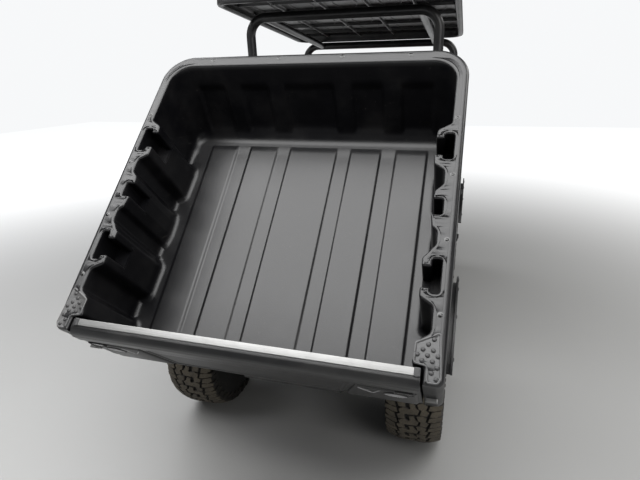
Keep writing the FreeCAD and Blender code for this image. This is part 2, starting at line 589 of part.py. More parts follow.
def dash():
    y, half = WHEELBASE - 540.0, CAB_HALF - 24.7
    bar_y = DASH_BAR_Y
    line = ((y, 800), (y - 30, 985), (y + 20, 1050), (y + 150, 1060), (y + 188, 1020))
    shell = strip_prism(line, 5.0, -half, half)
    ends = both(side_prism(line + ((y + 150, 900),), half - 5, half))
    foot = box(SEAT_X + 42, SEAT_X + 62, y + 140, bar_y - DASH_BAR_R - SEAT, 895, 1030)
    under = line + ((bar_y - 40, 968), (bar_y, 968), (bar_y, 890), (y + 140, 890))
    foot = foot.common(side_prism(under, -half, half))
    return fuse([shell] + ends + both(foot)).cut(cyl(26.0, along(50), along(300)))


def column_axis():
    a = math.radians(COLUMN_TILT)
    return V(0, math.cos(a), -math.sin(a))


def along(distance, offset=(0, 0, 0)):
    p = V(*WHEEL_POS) + column_axis() * distance + V(*offset)
    return (p.x, p.y, p.z)


def steering_column():
    """Column tube on a bracket from the dash bar, and its shaft down to the rack."""
    x, y = WHEEL_POS[0], DASH_BAR_Y - 178.0
    barrel = cyl(24.0, along(60), along(350))
    core = cyl(14.0 + FIT, along(50), along(140))
    bracket = box(x - 30, x + 30, y, y + 40, 790, 960)
    arm = box(x - 30, x + 30, y + 30, DASH_BAR_Y - DASH_BAR_R - SEAT, 895, 915)
    shaft = cyl(9.0, along(340), COLUMN_END)
    return fuse([barrel, bracket, arm, shaft]).cut(core).removeSplitter()


def steering_wheel():
    d = column_axis()
    ring = Part.makeTorus(STEER_R, 14.0, V(*WHEEL_POS), d)
    shaft = cyl(14.0, along(10), along(138))
    boss = cyl(40.0, along(8), along(42))
    spokes = []
    for a in (20, 160, 270):
        s = box(0, STEER_R, -13, 13, -5, 5)
        s.rotate(V(0, 0, 0), V(0, 0, 1), a)
        s.rotate(V(0, 0, 0), V(1, 0, 0), 90 - COLUMN_TILT)
        s.translate(V(*along(8)))
        spokes.append(s)
    return fuse([ring, shaft, boss] + spokes)


def hood():
    f, half = WHEELBASE, HOOD_HALF
    line = ((f - 335, HOOD_REST_Z + 8), (f - 80, HOOD_REST_Z), (f + 160, 905), (f + 270, 835), (f + 312, 766))
    under = ((f + 312, 726), (f + 250, 790), (f + 150, 860), (f - 90, 925))
    skin = strip_prism(line, 4.0, -half, half)
    lip = both(side_prism(((f - 335, 940),) + line + under, half - 4, half))
    y = f - TOWER_SPREAD
    pads = both(box(90, 130, y - 15, y + 15, HOOD_REST_Z + SEAT, HOOD_REST_Z + 4))
    # raised panel down the middle with sloping sides
    crown = [(x, y, z) for x, y, z in ((-190, f - 300, HOOD_REST_Z + 6), (190, f - 300, HOOD_REST_Z + 6),
                                      (160, f - 300, HOOD_REST_Z + 22), (-160, f - 300, HOOD_REST_Z + 22))]
    crown = prism(crown, (0, 240, -7))
    return fuse([skin, crown] + lip + pads)


def front_fascia():
    """Grille panel, wide beside the lamps and narrow between the turned wheels."""
    y = NOSE_Y
    line = ((y - 18, 752), (y, 600), (y - 4, 420), (y - 22, 362))
    skin = strip_prism(line, 5.0, -LAMP_X1 - 40, LAMP_X1 + 40)
    skin = skin.cut(both(box(LAMP_X0 - 27, LAMP_X1 + 50, y - 60, y + 60, 300, 585)))
    grille = [box(-215, 215, y - 60, y + 60, z, z + 16) for z in (440, 480, 520, 560, 600, 640)]
    lamps = both(box(LAMP_X0, LAMP_X1, y - 60, y + 60, LAMP_Z0, LAMP_Z1))
    skin = skin.cut(grille + lamps)
    back = box(-232, 232, y - 46, y - 42, 425, 680)
    tabs = both(box(218, 230, y - 44, y + 4, 430, 450)) + both(box(218, 230, y - 44, y - 2, 662, 676))
    legs = both(box(150, 170, y - 46, y - 30, RAIL_Z1 + SEAT, 430))
    return fuse([skin, back] + tabs + legs)


def headlamps():
    y, z0, z1 = NOSE_Y, LAMP_Z0 + SEAT, LAMP_Z1 - SEAT
    lamp = side_prism(((y - 40, z0), (y + 3, z0), (y - 6, z1), (y - 40, z1)), LAMP_X0 + SEAT, LAMP_X1 - SEAT)
    return group(both(lamp))


def front_bumper():
    y, h = BUMPER_Y - 19, BUMPER_HALF - 19
    loop = [tube(((0, y, 345), (h, y, 345), (h, y, 560), (0, y, 560)), 19.0, 50.0)]
    bars = both(loop[0]) + [tube(((-h, y, 452), (h, y, 452)), 15.0)]
    bars += [tube(((k * FRONT_RAIL_X, FRAME_FRONT_Y + SEAT, 280), (k * FRONT_RAIL_X, y, 280),
                   (k * FRONT_RAIL_X, y, 452)), 16.0, 30.0) for k in (-1, 1)]
    return fuse(bars)


def arch(y, r, x0, x1, a0, a1, t=4.0):
    """Arched sheet over a wheel between two angles from level front."""
    z = AXLE_Z
    ring = Part.makeCylinder(r + t, x1 - x0, V(x0, y, z), V(1, 0, 0))
    ring = ring.cut(Part.makeCylinder(r, x1 - x0 + 2, V(x0 - 1, y, z), V(1, 0, 0)))
    keep = [(y, z)]
    for i in range(13):
        a = math.radians(a0 + (a1 - a0) * i / 12.0)
        keep.append((y + 900 * math.cos(a), z + 900 * math.sin(a)))
    return ring.common(side_prism(keep, x0 - 1, x1 + 1))


def fenders():
    f, r, x = WHEELBASE, 0.0, ARCH_IN
    front = fuse([arch(f, ARCH_FRONT_R, x, FENDER_X, 45, 150),
                  arch(f, ARCH_FRONT_R, FENDER_X - 8, FENDER_X, 45, 150, 46.0),
                  arch(f, ARCH_FRONT_R, x - 4, x + 2, 62, 125, 128.0),
                  box(FRONT_RAIL_X - 20, x, f - 165, f - 135, TOWER_TOP + SEAT, TOWER_TOP + 6)])
    z = AXLE_Z + math.sqrt(ARCH_REAR_R ** 2 - TOWER_SPREAD ** 2)
    rear = [arch(r, ARCH_REAR_R, x - 17, FENDER_X, 10, 150),
            arch(r, ARCH_REAR_R, FENDER_X - 8, FENDER_X, 10, 150, 34.0)]
    for k in (-1, 1):
        mid = r + k * TOWER_SPREAD
        rear.append(box(REAR_RAIL_X + 20 + SEAT, x - 13, mid - 12, mid + 12, z - 2.5, z + 4.5))
    return group(both(front) + both(fuse(rear)))


def rockers():
    x0, x1, y1 = ROCKER_X0, ROCKER_X1, CAB_FLOOR_Y1
    low = box(x0, x1, 440, y1 - 50, 300, 384)
    low = low.cut(box(x0 + 5, x1 - 5, 445, y1 - 55, 295, 379))
    cowl = box(COWL_X0, COWL_X1, y1 - 20, y1 + 50, 330, 905)
    cowl = cowl.cut(box(COWL_X0 + 4, COWL_X1 - 4, y1 - 16, y1 + 55, 325, 900))
    step = box(x0 + 42, x1 - 4, y1 - 54, y1 - 16, 330, 384)
    hinge = []
    x, y = DOOR_HINGE
    for z in DOOR_HINGE_Z:
        hinge.append(box(x - 8, x + 8, y - 8, y + 30, z - 26, z - 14))
        hinge.append(cyl(DOOR_PIN_R, (x, y, z - 16), (x, y, z + 26)))
    return group(both(fuse([low, cowl, step] + hinge)))


def controls():
    """Two pedals on arms from the bulkhead, and the console with its gear lever."""
    pedals = []
    y1 = CAB_FLOOR_Y1
    for x, w in ((-SEAT_X - 82, 60), (-SEAT_X + 68, 48)):
        pedals.append(fuse([box(x - w / 2, x + w / 2, y1 - 100, y1 - 92, 470, 560),
                            box(x - 7, x + 7, y1 - 96, y1 - 7 - SEAT, 520, 536)]))
    y, length = PEDESTAL_Y + 10, CONSOLE_SHARE * (y1 - PEDESTAL_Y)
    console = rounded(-55, 55, y, y + length, FLOOR_PAN_Z + 4 + SEAT, 640, 16)
    stick = cyl(9.0, (0, y + length / 2, 630), (0, y + length / 2 - 35, 800))
    knob = Part.makeSphere(26.0, V(0, y + length / 2 - 37, 810))
    return group(pedals + [fuse([console, stick, knob])])


def tail_lamps():
    y1 = LAMP_BAR_Y - SEAT
    return group(both(rounded(300, 400, y1 - 18, y1, 640, 690, 6)))


# steering linkage

def tie_rods():
    """Rack bar, its bellows and the rods out to the steering arms, in one sliding piece."""
    y, z = WHEELBASE - STEER_ARM, TIE_Z
    rod = cyl(TIE_R, (-KINGPIN_X, y, z), (KINGPIN_X, y, z))
    ends = both(cyl(15.0, (KINGPIN_X, y, z - 14), (KINGPIN_X, y, z + 14)))
    return fuse([rod] + ends + both(cyl(15.0, (152, y, z), (236, y, z))))


# bed

def bed_outline(grow, z0, z1):
    """Upright block inside the rim line, grown outwards by a wall."""
    right = [(BED_HALF - w, BED_REAR_Y + v, z0) for v, w in RIM_LINE]
    left = [(-x, y, z) for x, y, z in reversed(right)]
    pts = [V(*p) for p in right + left]
    face = Part.Face(Part.makePolygon(pts + [pts[0]]))
    if grow:
        face = face.makeOffset2D(grow, 2, False, False, False)
    return face.extrude(V(0, 0, z1 - z0))


def behind_front_wall(offset):
    foot, head = BED_REAR_Y + WALL_FOOT + offset, BED_REAR_Y + WALL_HEAD + offset
    rise = RIM_Z - FLOOR_Z
    lean = (head - foot) / rise
    return side_prism(((BED_REAR_Y - 200, FLOOR_Z - 60), (foot - 60 * lean, FLOOR_Z - 60),
                       (head + 40 * lean, RIM_Z + 40), (BED_REAR_Y - 200, RIM_Z + 40)),
                      -BED_HALF - 60, BED_HALF + 60)


def pocket(row, grow, z0):
    h0, h1, inside, outside, t0, t1 = row
    y = BED_REAR_Y
    u0, u1 = BED_HALF - inside, BED_HALF - outside
    head = box(u0 - grow, u1 + grow, y + h0 - grow, y + h1 + grow, z0, RIM_Z + 1)
    throat = box(BED_HALF - 110.0, u0 + 1, y + t0 - grow, y + t1 + grow, z0, RIM_Z + 1)
    return head.fuse(throat)


def bed_tub():
    y, half = BED_REAR_Y, BED_HALF
    mouth = half - POST_W
    cavity = bed_outline(0, FLOOR_Z, RIM_Z + 5).common(behind_front_wall(0))
    shell = bed_outline(SKIN, FLOOR_Z - 13, RIM_Z - 1).common(behind_front_wall(SKIN))
    shell = shell.cut(box(-half, half, y - 60, y + FLOOR_START, FLOOR_Z - 40, RIM_Z + 10))
    # rim, its outer skirt and the hollow rear corners
    block = box(-half, half, y + BED_BACK, y + BED_FRONT, RIM_Z - 62, RIM_Z)
    block = soften_top(round_corners(block, 128, 24), RIM_ROUND)
    inner = round_corners(box(-half + SKIN, half - SKIN, y + BED_BACK + SKIN, y + BED_FRONT - SKIN,
                              RIM_Z - 63, RIM_Z - SKIN), 123, 19)
    inner = soften_top(inner, RIM_ROUND - SKIN)
    gap = box(-mouth, mouth, y - 80, y + FLOOR_START, RIM_Z - 80, RIM_Z + 5)
    rim_ = block.cut([inner, gap])
    wall = bed_outline(SKIN, RIM_Z - 70, RIM_Z + 1)
    rim_ = rim_.cut(wall.common(behind_front_wall(SKIN)))
    post = box(mouth, half, y + BED_BACK, y + 30, FLOOR_Z - 13, RIM_Z - RIM_ROUND)
    post = post.cut(box(mouth + 5, half - 5, y + BED_BACK + 5, y + 31, FLOOR_Z - 14, RIM_Z - RIM_ROUND + 1))
    web = box(half - 95, mouth + 5, y + FLOOR_START, y + FLOOR_START + SKIN, FLOOR_Z - 13, RIM_Z - 1)
    boxes = []
    for row in POCKETS:
        cup = pocket(row, 4.0, RIM_Z - POCKET_D - 4)
        boxes += both(cup.cut(box(0, half + 60, -900, 700, RIM_Z - 0.5, RIM_Z + 5)))
    tub = fuse([shell, rim_] + both(post) + both(web) + boxes)
    cuts = [cavity]
    for row in POCKETS:
        cuts += both(pocket(row, 0.0, RIM_Z - POCKET_D))
    d = CHANNEL_D
    y0, y1 = y + FLOOR_START - 1, y + WALL_FOOT - 20
    for a, b in CHANNELS:
        trough = prism([(a, y0, FLOOR_Z + 1), (a + d, y0, FLOOR_Z - d), (b - d, y0, FLOOR_Z - d),
                        (b, y0, FLOOR_Z + 1)], (0, y1 - y0, 0))
        cuts += both(trough)
    lands = ((0, 95), (184, 288), (380, half - 110))
    for a, b in lands:
        cuts += both(box(a, b, y + 20, y1, FLOOR_Z - 14, FLOOR_Z - 6))
    tub = tub.cut(cuts)
    hy = y - HINGE_BACK
    pin = cyl(GATE_PIN_R + FIT, (GATE_HALF - 6, hy, HINGE_Z), (GATE_HALF + 24, hy, HINGE_Z))
    return tub.cut(both(pin)).removeSplitter()


def round_corners(block, front_r, rear_r):
    """Round the upright corners, the front pair and the rear pair apart."""
    box_ = block.BoundBox
    front = [e for e in block.Edges if abs(e.tangentAt(e.FirstParameter).z) > 0.9
             and e.CenterOfMass.y > box_.Center.y]
    block = block.makeFillet(front_r, front)
    rear = [e for e in block.Edges if abs(e.tangentAt(e.FirstParameter).z) > 0.9
            and e.CenterOfMass.y < box_.Center.y and abs(e.CenterOfMass.x) > box_.XMax - 1]
    return block.makeFillet(rear_r, rear)


def bed_pads():
    """Studded pads let onto the rim's rear corners."""
    pts = [(BED_HALF - w, BED_REAR_Y + v, RIM_Z) for v, w in PAD_LINE]
    studs = [prism(pts, (0, 0, PAD_T))]
    # distance ahead of the tailgate, distances in from the side
    for v, rows in ((92, (30, 52)), (70, (40, 74)), (48, (30, 60)), (26, (43, 78)), (4, (30,)), (-18, (36,))):
        for w in rows:
            place = V(BED_HALF - w, BED_REAR_Y + v, RIM_Z + PAD_T)
            studs.append(Part.makeCone(6.0, 4.0, 3.0, place, V(0, 0, 1)))
    return group(both(fuse(studs)))


def bed_frame():
    y = BED_REAR_Y
    z1 = FLOOR_Z - 13
    z0 = 846.0
    x = BED_RAIL_X
    half = [box(x - 20, x + 20, y + 40, y + 1000, z0, z1)]
    for v in (60, 460, 960):
        half.append(box(0, BED_HALF - 120, y + v, y + v + 40, z1 - 35, z1))
    plate = side_prism(((PIVOT_Y - 34, z0 + 4), (PIVOT_Y - 18, PIVOT_Z - 16), (PIVOT_Y, PIVOT_Z - 22),
                        (PIVOT_Y + 18, PIVOT_Z - 16), (PIVOT_Y + 34, z0 + 4)), x - 20, x - 8)
    half.append(plate)
    eye = cyl(PIVOT_PIN_R + FIT, (x - 30, PIVOT_Y, PIVOT_Z), (x, PIVOT_Y, PIVOT_Z))
    frame = fuse(half)
    frame = fuse([frame, mirror(frame)]).cut([eye, mirror(eye)])
    ey, ez = STRUT_EYE
    lug = [box(u - 4, u + 4, ey - 18, ey + 18, ez - 18, z1) for u in (STRUT_X - 19, STRUT_X + 19)]
    cross = box(0, 300, ey - 20, ey + 20, z1 - 30, z1)
    frame = fuse([frame, mirror(cross), cross])
    return fuse([frame] + lug)


def tailgate_panel():
    """Hollow gate with a rolled top band, a raised facet at both ends and a rib between them."""
    y, top, foot = BED_REAR_Y, GATE_TOP, GATE_FOOT
    outer = side_prism(((y, foot), (y, top), (y - 34, top), (y - 52, top - 8), (y - GATE_T, top - 26),
                        (y - GATE_T, top - 66), (y - 48, top - 84), (y - 44, foot)), -GATE_HALF, GATE_HALF)
    inner = side_prism(((y - 4, foot - 1), (y - 4, top - 5), (y - 32, top - 5), (y - 48, top - 12),
                        (y - GATE_T + 4, top - 30), (y - GATE_T + 4, top - 64), (y - 44, top - 84),
                        (y - 40, foot - 1)), -GATE_HALF + 5, GATE_HALF - 5)
    face = [(GATE_HALF - 250, foot + 16), (GATE_HALF - 12, foot + 16), (GATE_HALF - 12, top - 126),
            (GATE_HALF - 196, top - 126)]
    facet = prism([(x, y - 42, z) for x, z in face], (0, -11, 0))
    facet = facet.makeChamfer(5, [e for e in facet.Edges if all(v.Y < y - 52 for v in e.Vertexes)])
    shell = fuse([outer.cut(inner)] + both(facet))
    hy = y - HINGE_BACK
    pin = cyl(GATE_PIN_R, (GATE_HALF - 30, hy, HINGE_Z), (GATE_HALF + 14, hy, HINGE_Z))
    return fuse([shell] + both(pin))


def tailgate_strip():
    y = BED_REAR_Y
    return box(-STRIP_HALF, STRIP_HALF, y - STRIP_W, y - 1, GATE_TOP, RIM_Z)


def tailgate_lamps():
    y, x = BED_REAR_Y - 48, GATE_HALF
    lens = box(x - 76, x - 16, y - 12, y - SEAT, GATE_TOP - 120, GATE_TOP - 88)
    return group(both(lens))


# gas strut

def strut_line():
    """Foot pin, eye of the tipped bed and the unit vector between them."""
    a = V(STRUT_X, *STRUT_FOOT)
    b = V(STRUT_X, *raised(*STRUT_EYE))
    return a, b, (b - a).normalize()


def strut_tube():
    a, b, d = strut_line()
    body = Part.makeCylinder(STRUT_TUBE_R, STRUT_TUBE_L - 8, a + d * 8, d)
    eye = cyl(13.0, (STRUT_X - 9, a.y, a.z), (STRUT_X + 9, a.y, a.z))
    whole = fuse([body, eye])
    whole = whole.cut(cyl(6.0 + FIT, (STRUT_X - 16, a.y, a.z), (STRUT_X + 16, a.y, a.z)))
    return whole.cut(Part.makeCylinder(STRUT_ROD_R + FIT, STRUT_TUBE_L - 20, a + d * 26, d))


def strut_rod():
    a, b, d = strut_line()
    length = (b - a).Length
    rod = Part.makeCylinder(STRUT_ROD_R, length - 8 - 275, a + d * 275, d)
    return fuse([rod, cyl(11.0, (STRUT_X - 8, b.y, b.z), (STRUT_X + 8, b.y, b.z))])


# doors

def door(side):
    """Flat skin on a returned frame, open towards the cab, with two hinge knuckles."""
    x0, x1 = DOOR_X0, DOOR_X1
    rear, front, low, top = DOOR_Y0, DOOR_Y1, DOOR_Z0, DOOR_Z1
    skin = side_prism(((rear, low + 60), (rear + 70, low), (front, low), (front, top - 40),
                       (front - 60, top), (rear + 40, top - 40), (rear, top - 90)), x0, x1)
    inside = side_prism(((rear + 30, low + 70), (rear + 90, low + 30), (front - 30, low + 30),
                         (front - 30, top - 60), (front - 75, top - 32),
                         (rear + 50, top - 70), (rear + 30, top - 110)), x0 - 1, x1 - 4)
    # pressed panel standing out of the skin
    swage = side_prism(((rear + 60, low + 110), (rear + 120, low + 60), (front - 60, low + 60),
                        (front - 90, top - 190), (rear + 80, top - 210)), x1 - 2, x1 + 6)
    swage = swage.makeChamfer(5, [e for e in swage.Edges if all(v.X > x1 + 5 for v in e.Vertexes)])
    hx, hy = DOOR_HINGE
    parts = [skin.cut(inside), swage]
    for z in DOOR_HINGE_Z:
        parts.append(fuse([cyl(14.0, (hx, hy, z - 8), (hx, hy, z + 22)),
                           box(x1 - 6, hx, hy - 60, hy - 4, z - 6, z + 18),
                           box(x1 - 12, x1, front - 40, hy - 20, z - 6, z + 18)]))
    whole = fuse(parts)
    whole = whole.cut([cyl(DOOR_PIN_R + FIT, (hx, hy, z - 10), (hx, hy, z + 28)) for z in DOOR_HINGE_Z])
    return whole if side > 0 else mirror(whole)


def build_all():
    """Every sub-part by node name, still measured from the rear axle."""
    nodes = {
        "chassis_frame": chassis_frame(), "floor_pan": floor_pan(), "skid_plate": skid_plate(),
        "cage": cage(), "roof": roof(), "seat_pedestal": seat_pedestal(), "seats": seats(), "dash": dash(),
        "steering_column": steering_column(), "hood": hood(), "front_fascia": front_fascia(),
        "headlamps": headlamps(), "front_bumper": front_bumper(), "fenders": fenders(), "rockers": rockers(),
        "controls": controls(), "tail_lamps": tail_lamps(), "engine": engine(),
        "exhaust": exhaust(), "drivetrain": drivetrain(), "suspension_arms": suspension_arms(),
        "rear_hubs": rear_hubs(), "shocks": shocks(), "half_shafts": half_shafts(),
        "steering_wheel": steering_wheel(), "tie_rods": tie_rods(),
        "knuckle_left": knuckle(-1), "knuckle_right": knuckle(1),
        "bed_tub": raise_bed(bed_tub()), "bed_pads": raise_bed(bed_pads()),
        "bed_frame": raise_bed(bed_frame()),
        "tailgate_panel": raise_bed(tailgate_panel()), "tailgate_strip": raise_bed(tailgate_strip()),
        "tailgate_lamps": raise_bed(tailgate_lamps()),
        "strut_tube": strut_tube(), "strut_rod": strut_rod(),
        "door_left": door(-1), "door_right": door(1),
    }
    for name, side, y in (("front_left", -1, WHEELBASE), ("front_right", 1, WHEELBASE),
                          ("rear_left", -1, 0.0), ("rear_right", 1, 0.0)):
        nodes["tyre_" + name] = tyre(side, y)
        nodes["rim_" + name] = rim(side, y)
    return nodes


def centre_shift(nodes):
    """Move that puts the middle of the vehicle's outline over the origin."""
    whole = Part.makeCompound(list(nodes.values()))
    b = whole.optimalBoundingBox(False, False)
    return V(-(b.XMin + b.XMax) / 2, -(b.YMin + b.YMax) / 2, -b.ZMin)


def main():
    os.makedirs("parts", exist_ok=True)
    nodes = build_all()
    shift = centre_shift(nodes)
    for name, shape in nodes.items():
        shape.translate(shift)
        shape.exportStep("parts/" + name + ".step")


if __name__ == "__main__":
    main()
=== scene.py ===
"""Side by side utility vehicle with its cargo bed tipped up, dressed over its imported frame.

Lengths are metres in the frame's own coordinates unless a name ends in _mm: +X is the
vehicle's right, +Y its front and +Z up.
"""
import logging
import math
from dataclasses import dataclass
from enum import Enum
from typing import Any, Callable, Optional, Sequence, Union

import bpy
import bmesh
import numpy as np
from mathutils import Matrix, Vector
from mathutils.geometry import tessellate_polygon


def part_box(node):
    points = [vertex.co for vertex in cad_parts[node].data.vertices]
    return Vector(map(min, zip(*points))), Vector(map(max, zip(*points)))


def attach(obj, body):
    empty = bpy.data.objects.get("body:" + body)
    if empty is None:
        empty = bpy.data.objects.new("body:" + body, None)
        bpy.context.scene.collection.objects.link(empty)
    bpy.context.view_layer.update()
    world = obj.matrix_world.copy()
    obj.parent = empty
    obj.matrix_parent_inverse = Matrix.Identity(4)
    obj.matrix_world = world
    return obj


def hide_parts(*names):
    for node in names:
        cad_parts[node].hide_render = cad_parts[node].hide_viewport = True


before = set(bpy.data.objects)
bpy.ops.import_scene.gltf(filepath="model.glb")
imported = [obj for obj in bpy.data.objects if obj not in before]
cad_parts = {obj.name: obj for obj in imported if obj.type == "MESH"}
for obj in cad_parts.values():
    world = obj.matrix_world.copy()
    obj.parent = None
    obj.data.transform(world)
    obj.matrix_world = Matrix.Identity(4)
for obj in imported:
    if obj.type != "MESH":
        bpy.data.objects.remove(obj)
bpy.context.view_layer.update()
LOG = logging.getLogger("utility_vehicle")

Array = np.ndarray
Colour = tuple[float, float, float]


# shader expressions

class Link:
    """A socket's value that can stand in a Python expression; each operator adds one Math node."""

    def __init__(self, shader: "Shader", socket: bpy.types.NodeSocket) -> None:
        """Keep the socket and the shader that it belongs to."""
        self.shader = shader
        self.socket = socket

    def __add__(self, other: "Term") -> "Link":
        """Sum with a number or a link."""
        return self.shader.maths("ADD", self, other)

    __radd__ = __add__

    def __sub__(self, other: "Term") -> "Link":
        """This value less another."""
        return self.shader.maths("SUBTRACT", self, other)

    def __rsub__(self, other: "Term") -> "Link":
        """Another value less this one."""
        return self.shader.maths("SUBTRACT", other, self)

    def __mul__(self, other: "Term") -> "Link":
        """Product with a number or a link."""
        return self.shader.maths("MULTIPLY", self, other)

    __rmul__ = __mul__

    def step(self, low: float, high: float) -> "Link":
        """Smooth step from 0 at low to 1 at high.

        Args:
            low: value where the step starts.
            high: value where it ends; below low it falls instead.

        Returns:
            The stepped link.
        """
        if high < low:
            return 1.0 - self.step(high, low)
        node = self.shader.node("MapRange", {"interpolation_type": "SMOOTHSTEP"},
                                {"Value": self, "From Min": low, "From Max": high})
        return self.shader.link(node, "Result")


Term = Union[float, Link]
Input = Union[float, tuple, Link]


class Shader:
    """The node tree of one finish."""

    def __init__(self, name: str) -> None:
        """Start an empty material of that name."""
        self.material = bpy.data.materials.new(name)
        self.material.use_nodes = True
        self.tree = self.material.node_tree
        self.tree.nodes.clear()
        self.place = None

    def node(self, kind: str, settings: Optional[dict[str, Any]] = None,
             values: Optional[dict[Union[str, int], Input]] = None) -> bpy.types.Node:
        """Add a node of any type.

        Args:
            kind: the node's type without its ShaderNode prefix.
            settings: properties set first; "stops" fills a ramp with (place, colour) pairs.
            values: numbers, tuples or links by socket name, identifier or index.

        Returns:
            The new node.
        """
        item = self.tree.nodes.new("ShaderNode" + kind)
        for name, value in (settings or {}).items():
            if name == "stops":
                ramp = item.color_ramp
                while len(ramp.elements) < len(value):
                    ramp.elements.new(1.0)
                for element, (place, colour) in zip(ramp.elements, value):
                    element.position = place
                    element.color = (*colour, 1.0)
            else:
                setattr(item, name, value)
        for key, value in (values or {}).items():
            socket = self.pick(item.inputs, key)
            if isinstance(value, Link):
                self.tree.links.new(value.socket, socket)
            elif isinstance(value, tuple) and len(value) == 3 and socket.type == "RGBA":
                socket.default_value = (*value, 1.0)
            else:
                socket.default_value = value
        return item

    @staticmethod
    def pick(sockets: Any, key: Union[str, int]) -> bpy.types.NodeSocket:
        """The socket of that index, identifier or name."""
        if isinstance(key, int):
            return sockets[key]
        for socket in sockets:
            if socket.identifier == key:
                return socket
        return sockets[key]

    def link(self, node: bpy.types.Node, key: Union[str, int] = 0) -> Link:
        """A node's output as a link."""
        return Link(self, self.pick(node.outputs, key))

    def maths(self, operation: str, *terms: Term) -> Link:
        """One Math node over the given terms."""
        return self.link(self.node("Math", {"operation": operation}, dict(enumerate(terms))))

    def coords(self) -> Link:
        """Object coordinates, added once per finish."""
        if self.place is None:
            self.place = self.link(self.node("TexCoord"), "Object")
        return self.place

    def stretch(self, scale: tuple[float, float, float],
                turn: tuple[float, float, float] = (0, 0, 0)) -> Link:
        """Object coordinates scaled, and turned by that many radians, by a Mapping node."""
        return self.link(self.node("Mapping", {},
                                   {"Vector": self.coords(), "Scale": scale, "Rotation": turn}))

    def noise(self, size: float, detail: float = 3.0, rough: float = 0.55,
              place: Optional[Link] = None) -> Link:
        """Noise whose blotches are about one size across.

        Args:
            size: the blotch size in metres.
            detail: the octaves.
            rough: how strong the fine octaves are.
            place: other coordinates than the object's own.

        Returns:
            The noise factor from 0 to 1.
        """
        node = self.node("TexNoise", {}, {"Vector": place or self.coords(), "Scale": 1.0 / size,
                                          "Detail": detail, "Roughness": rough})
        return self.link(node, "Factor" if "Factor" in node.outputs else "Fac")

    def cells(self, size: float, feature: str = "F1") -> Link:
        """Distance in a Voronoi pattern of that cell size in metres."""
        node = self.node("TexVoronoi", {"feature": feature}, {"Vector": self.coords(), "Scale": 1.0 / size})
        return self.link(node, "Distance")

    def axis(self, name: str) -> Link:
        """One object coordinate, X, Y or Z."""
        return self.link(self.node("SeparateXYZ", {}, {0: self.coords()}), name)

    def attribute(self, name: str) -> Link:
        """A float attribute of the mesh."""
        return self.link(self.node("Attribute", {"attribute_name": name}), "Fac")

    def blend(self, factor: Term, low: Union[Colour, Link], high: Union[Colour, Link]) -> Link:
        """Mix two colours by a factor."""
        node = self.node("Mix", {"data_type": "RGBA"},
                         {"Factor_Float": factor, "A_Color": low, "B_Color": high})
        return self.link(node, "Result_Color")

    def bump(self, height: Link, depth: float, strength: float = 1.0, under: Optional[Link] = None) -> Link:
        """A surface normal bumped by a height.

        Args:
            height: the height factor.
            depth: metres between factor 0 and 1.
            strength: the bump's share.
            under: a normal that this bump adds to.

        Returns:
            The normal.
        """
        values: dict[Union[str, int], Input] = {"Height": height, "Distance": depth, "Strength": strength}
        if under is not None:
            values["Normal"] = under
        return self.link(self.node("Bump", {}, values), "Normal")

    def layered(self, low: dict[Union[str, int], Input], high: dict[Union[str, int], Input],
                factor: Link) -> bpy.types.Material:
        """Close the tree with two Principled shaders mixed by a factor."""
        ends = [self.link(self.node("BsdfPrincipled", {}, values), "BSDF") for values in (low, high)]
        mixed = self.link(self.node("MixShader", {}, {0: factor, 1: ends[0], 2: ends[1]}))
        self.node("OutputMaterial", {}, {"Surface": mixed})
        return self.material

    def finish(self, values: dict[Union[str, int], Input]) -> bpy.types.Material:
        """Close the tree with a Principled shader of those values."""
        surface = self.link(self.node("BsdfPrincipled", {}, values), "BSDF")
        self.node("OutputMaterial", {}, {"Surface": surface})
        return self.material


# finishes

@dataclass(frozen=True)
class Finish:
    """A surface finish, made into one material the first time it is used."""

    name: str
    colour: Colour = (0.02, 0.02, 0.02)
    roughness: float = 0.5

    def material(self) -> bpy.types.Material:
        """The finish's material, built once."""
        found = bpy.data.materials.get(self.name + "_finish")
        return found if found else self.build(Shader(self.name + "_finish"))

    def shade(self, share: float) -> Colour:
        """The finish's colour times a share, up to 1."""
        return tuple(min(1.0, c * share) for c in self.colour)

    def build(self, shader: Shader) -> bpy.types.Material:
        """Build the nodes; each kind of finish has its own."""
        raise NotImplementedError


@dataclass(frozen=True)
class MouldedPlastic(Finish):
    """Thick moulded plastic: leathery grain, faint clouding, dulled scuffs and settled dust.

    The mesh attribute polish, where it is used, is 1 on faces rubbed smooth and 0 on matt ones.
    """

    grain: float = 0.0032
    depth: float = 0.00035
    gloss: float = 0.5
    matt: Optional[float] = None
    dust: float = 0.10
    scuffs: float = 0.25

    def build(self, shader: Shader) -> bpy.types.Material:
        """Grain as bump, clouding and scuffs in roughness, dust in colour."""
        pebbles = shader.cells(self.grain, "SMOOTH_F1")
        fine = shader.noise(self.grain * 0.45, 2.0)
        cloud = shader.noise(0.16, 4.0, 0.6)
        streaks = shader.noise(0.012, 5.0, 0.7, shader.stretch((1.0, 0.08, 1.0), (0.0, 0.0, 0.5)))
        scuff = streaks.step(0.60, 0.72) * shader.noise(0.09, 3.0).step(0.45, 0.62) * self.scuffs
        tone = (cloud * 0.7 + fine * 0.3).step(0.25, 0.8)
        base = shader.blend(tone, self.shade(0.72), self.shade(1.35))
        dusty = shader.blend(cloud.step(0.42, 0.75) * self.dust + scuff * 0.35, base, (0.20, 0.19, 0.17))
        rough = self.roughness + (cloud - 0.5) * 0.16 + scuff * 0.25 + (fine - 0.5) * 0.08
        normal = shader.bump(pebbles * -1.0 + fine * 0.35, self.depth)
        values = {"Base Color": dusty, "Roughness": rough, "Normal": normal, "Specular IOR Level": self.gloss}
        if self.matt is None:
            return shader.finish(values)
        return shader.layered({**values, "Specular IOR Level": self.matt}, values, shader.attribute("polish"))


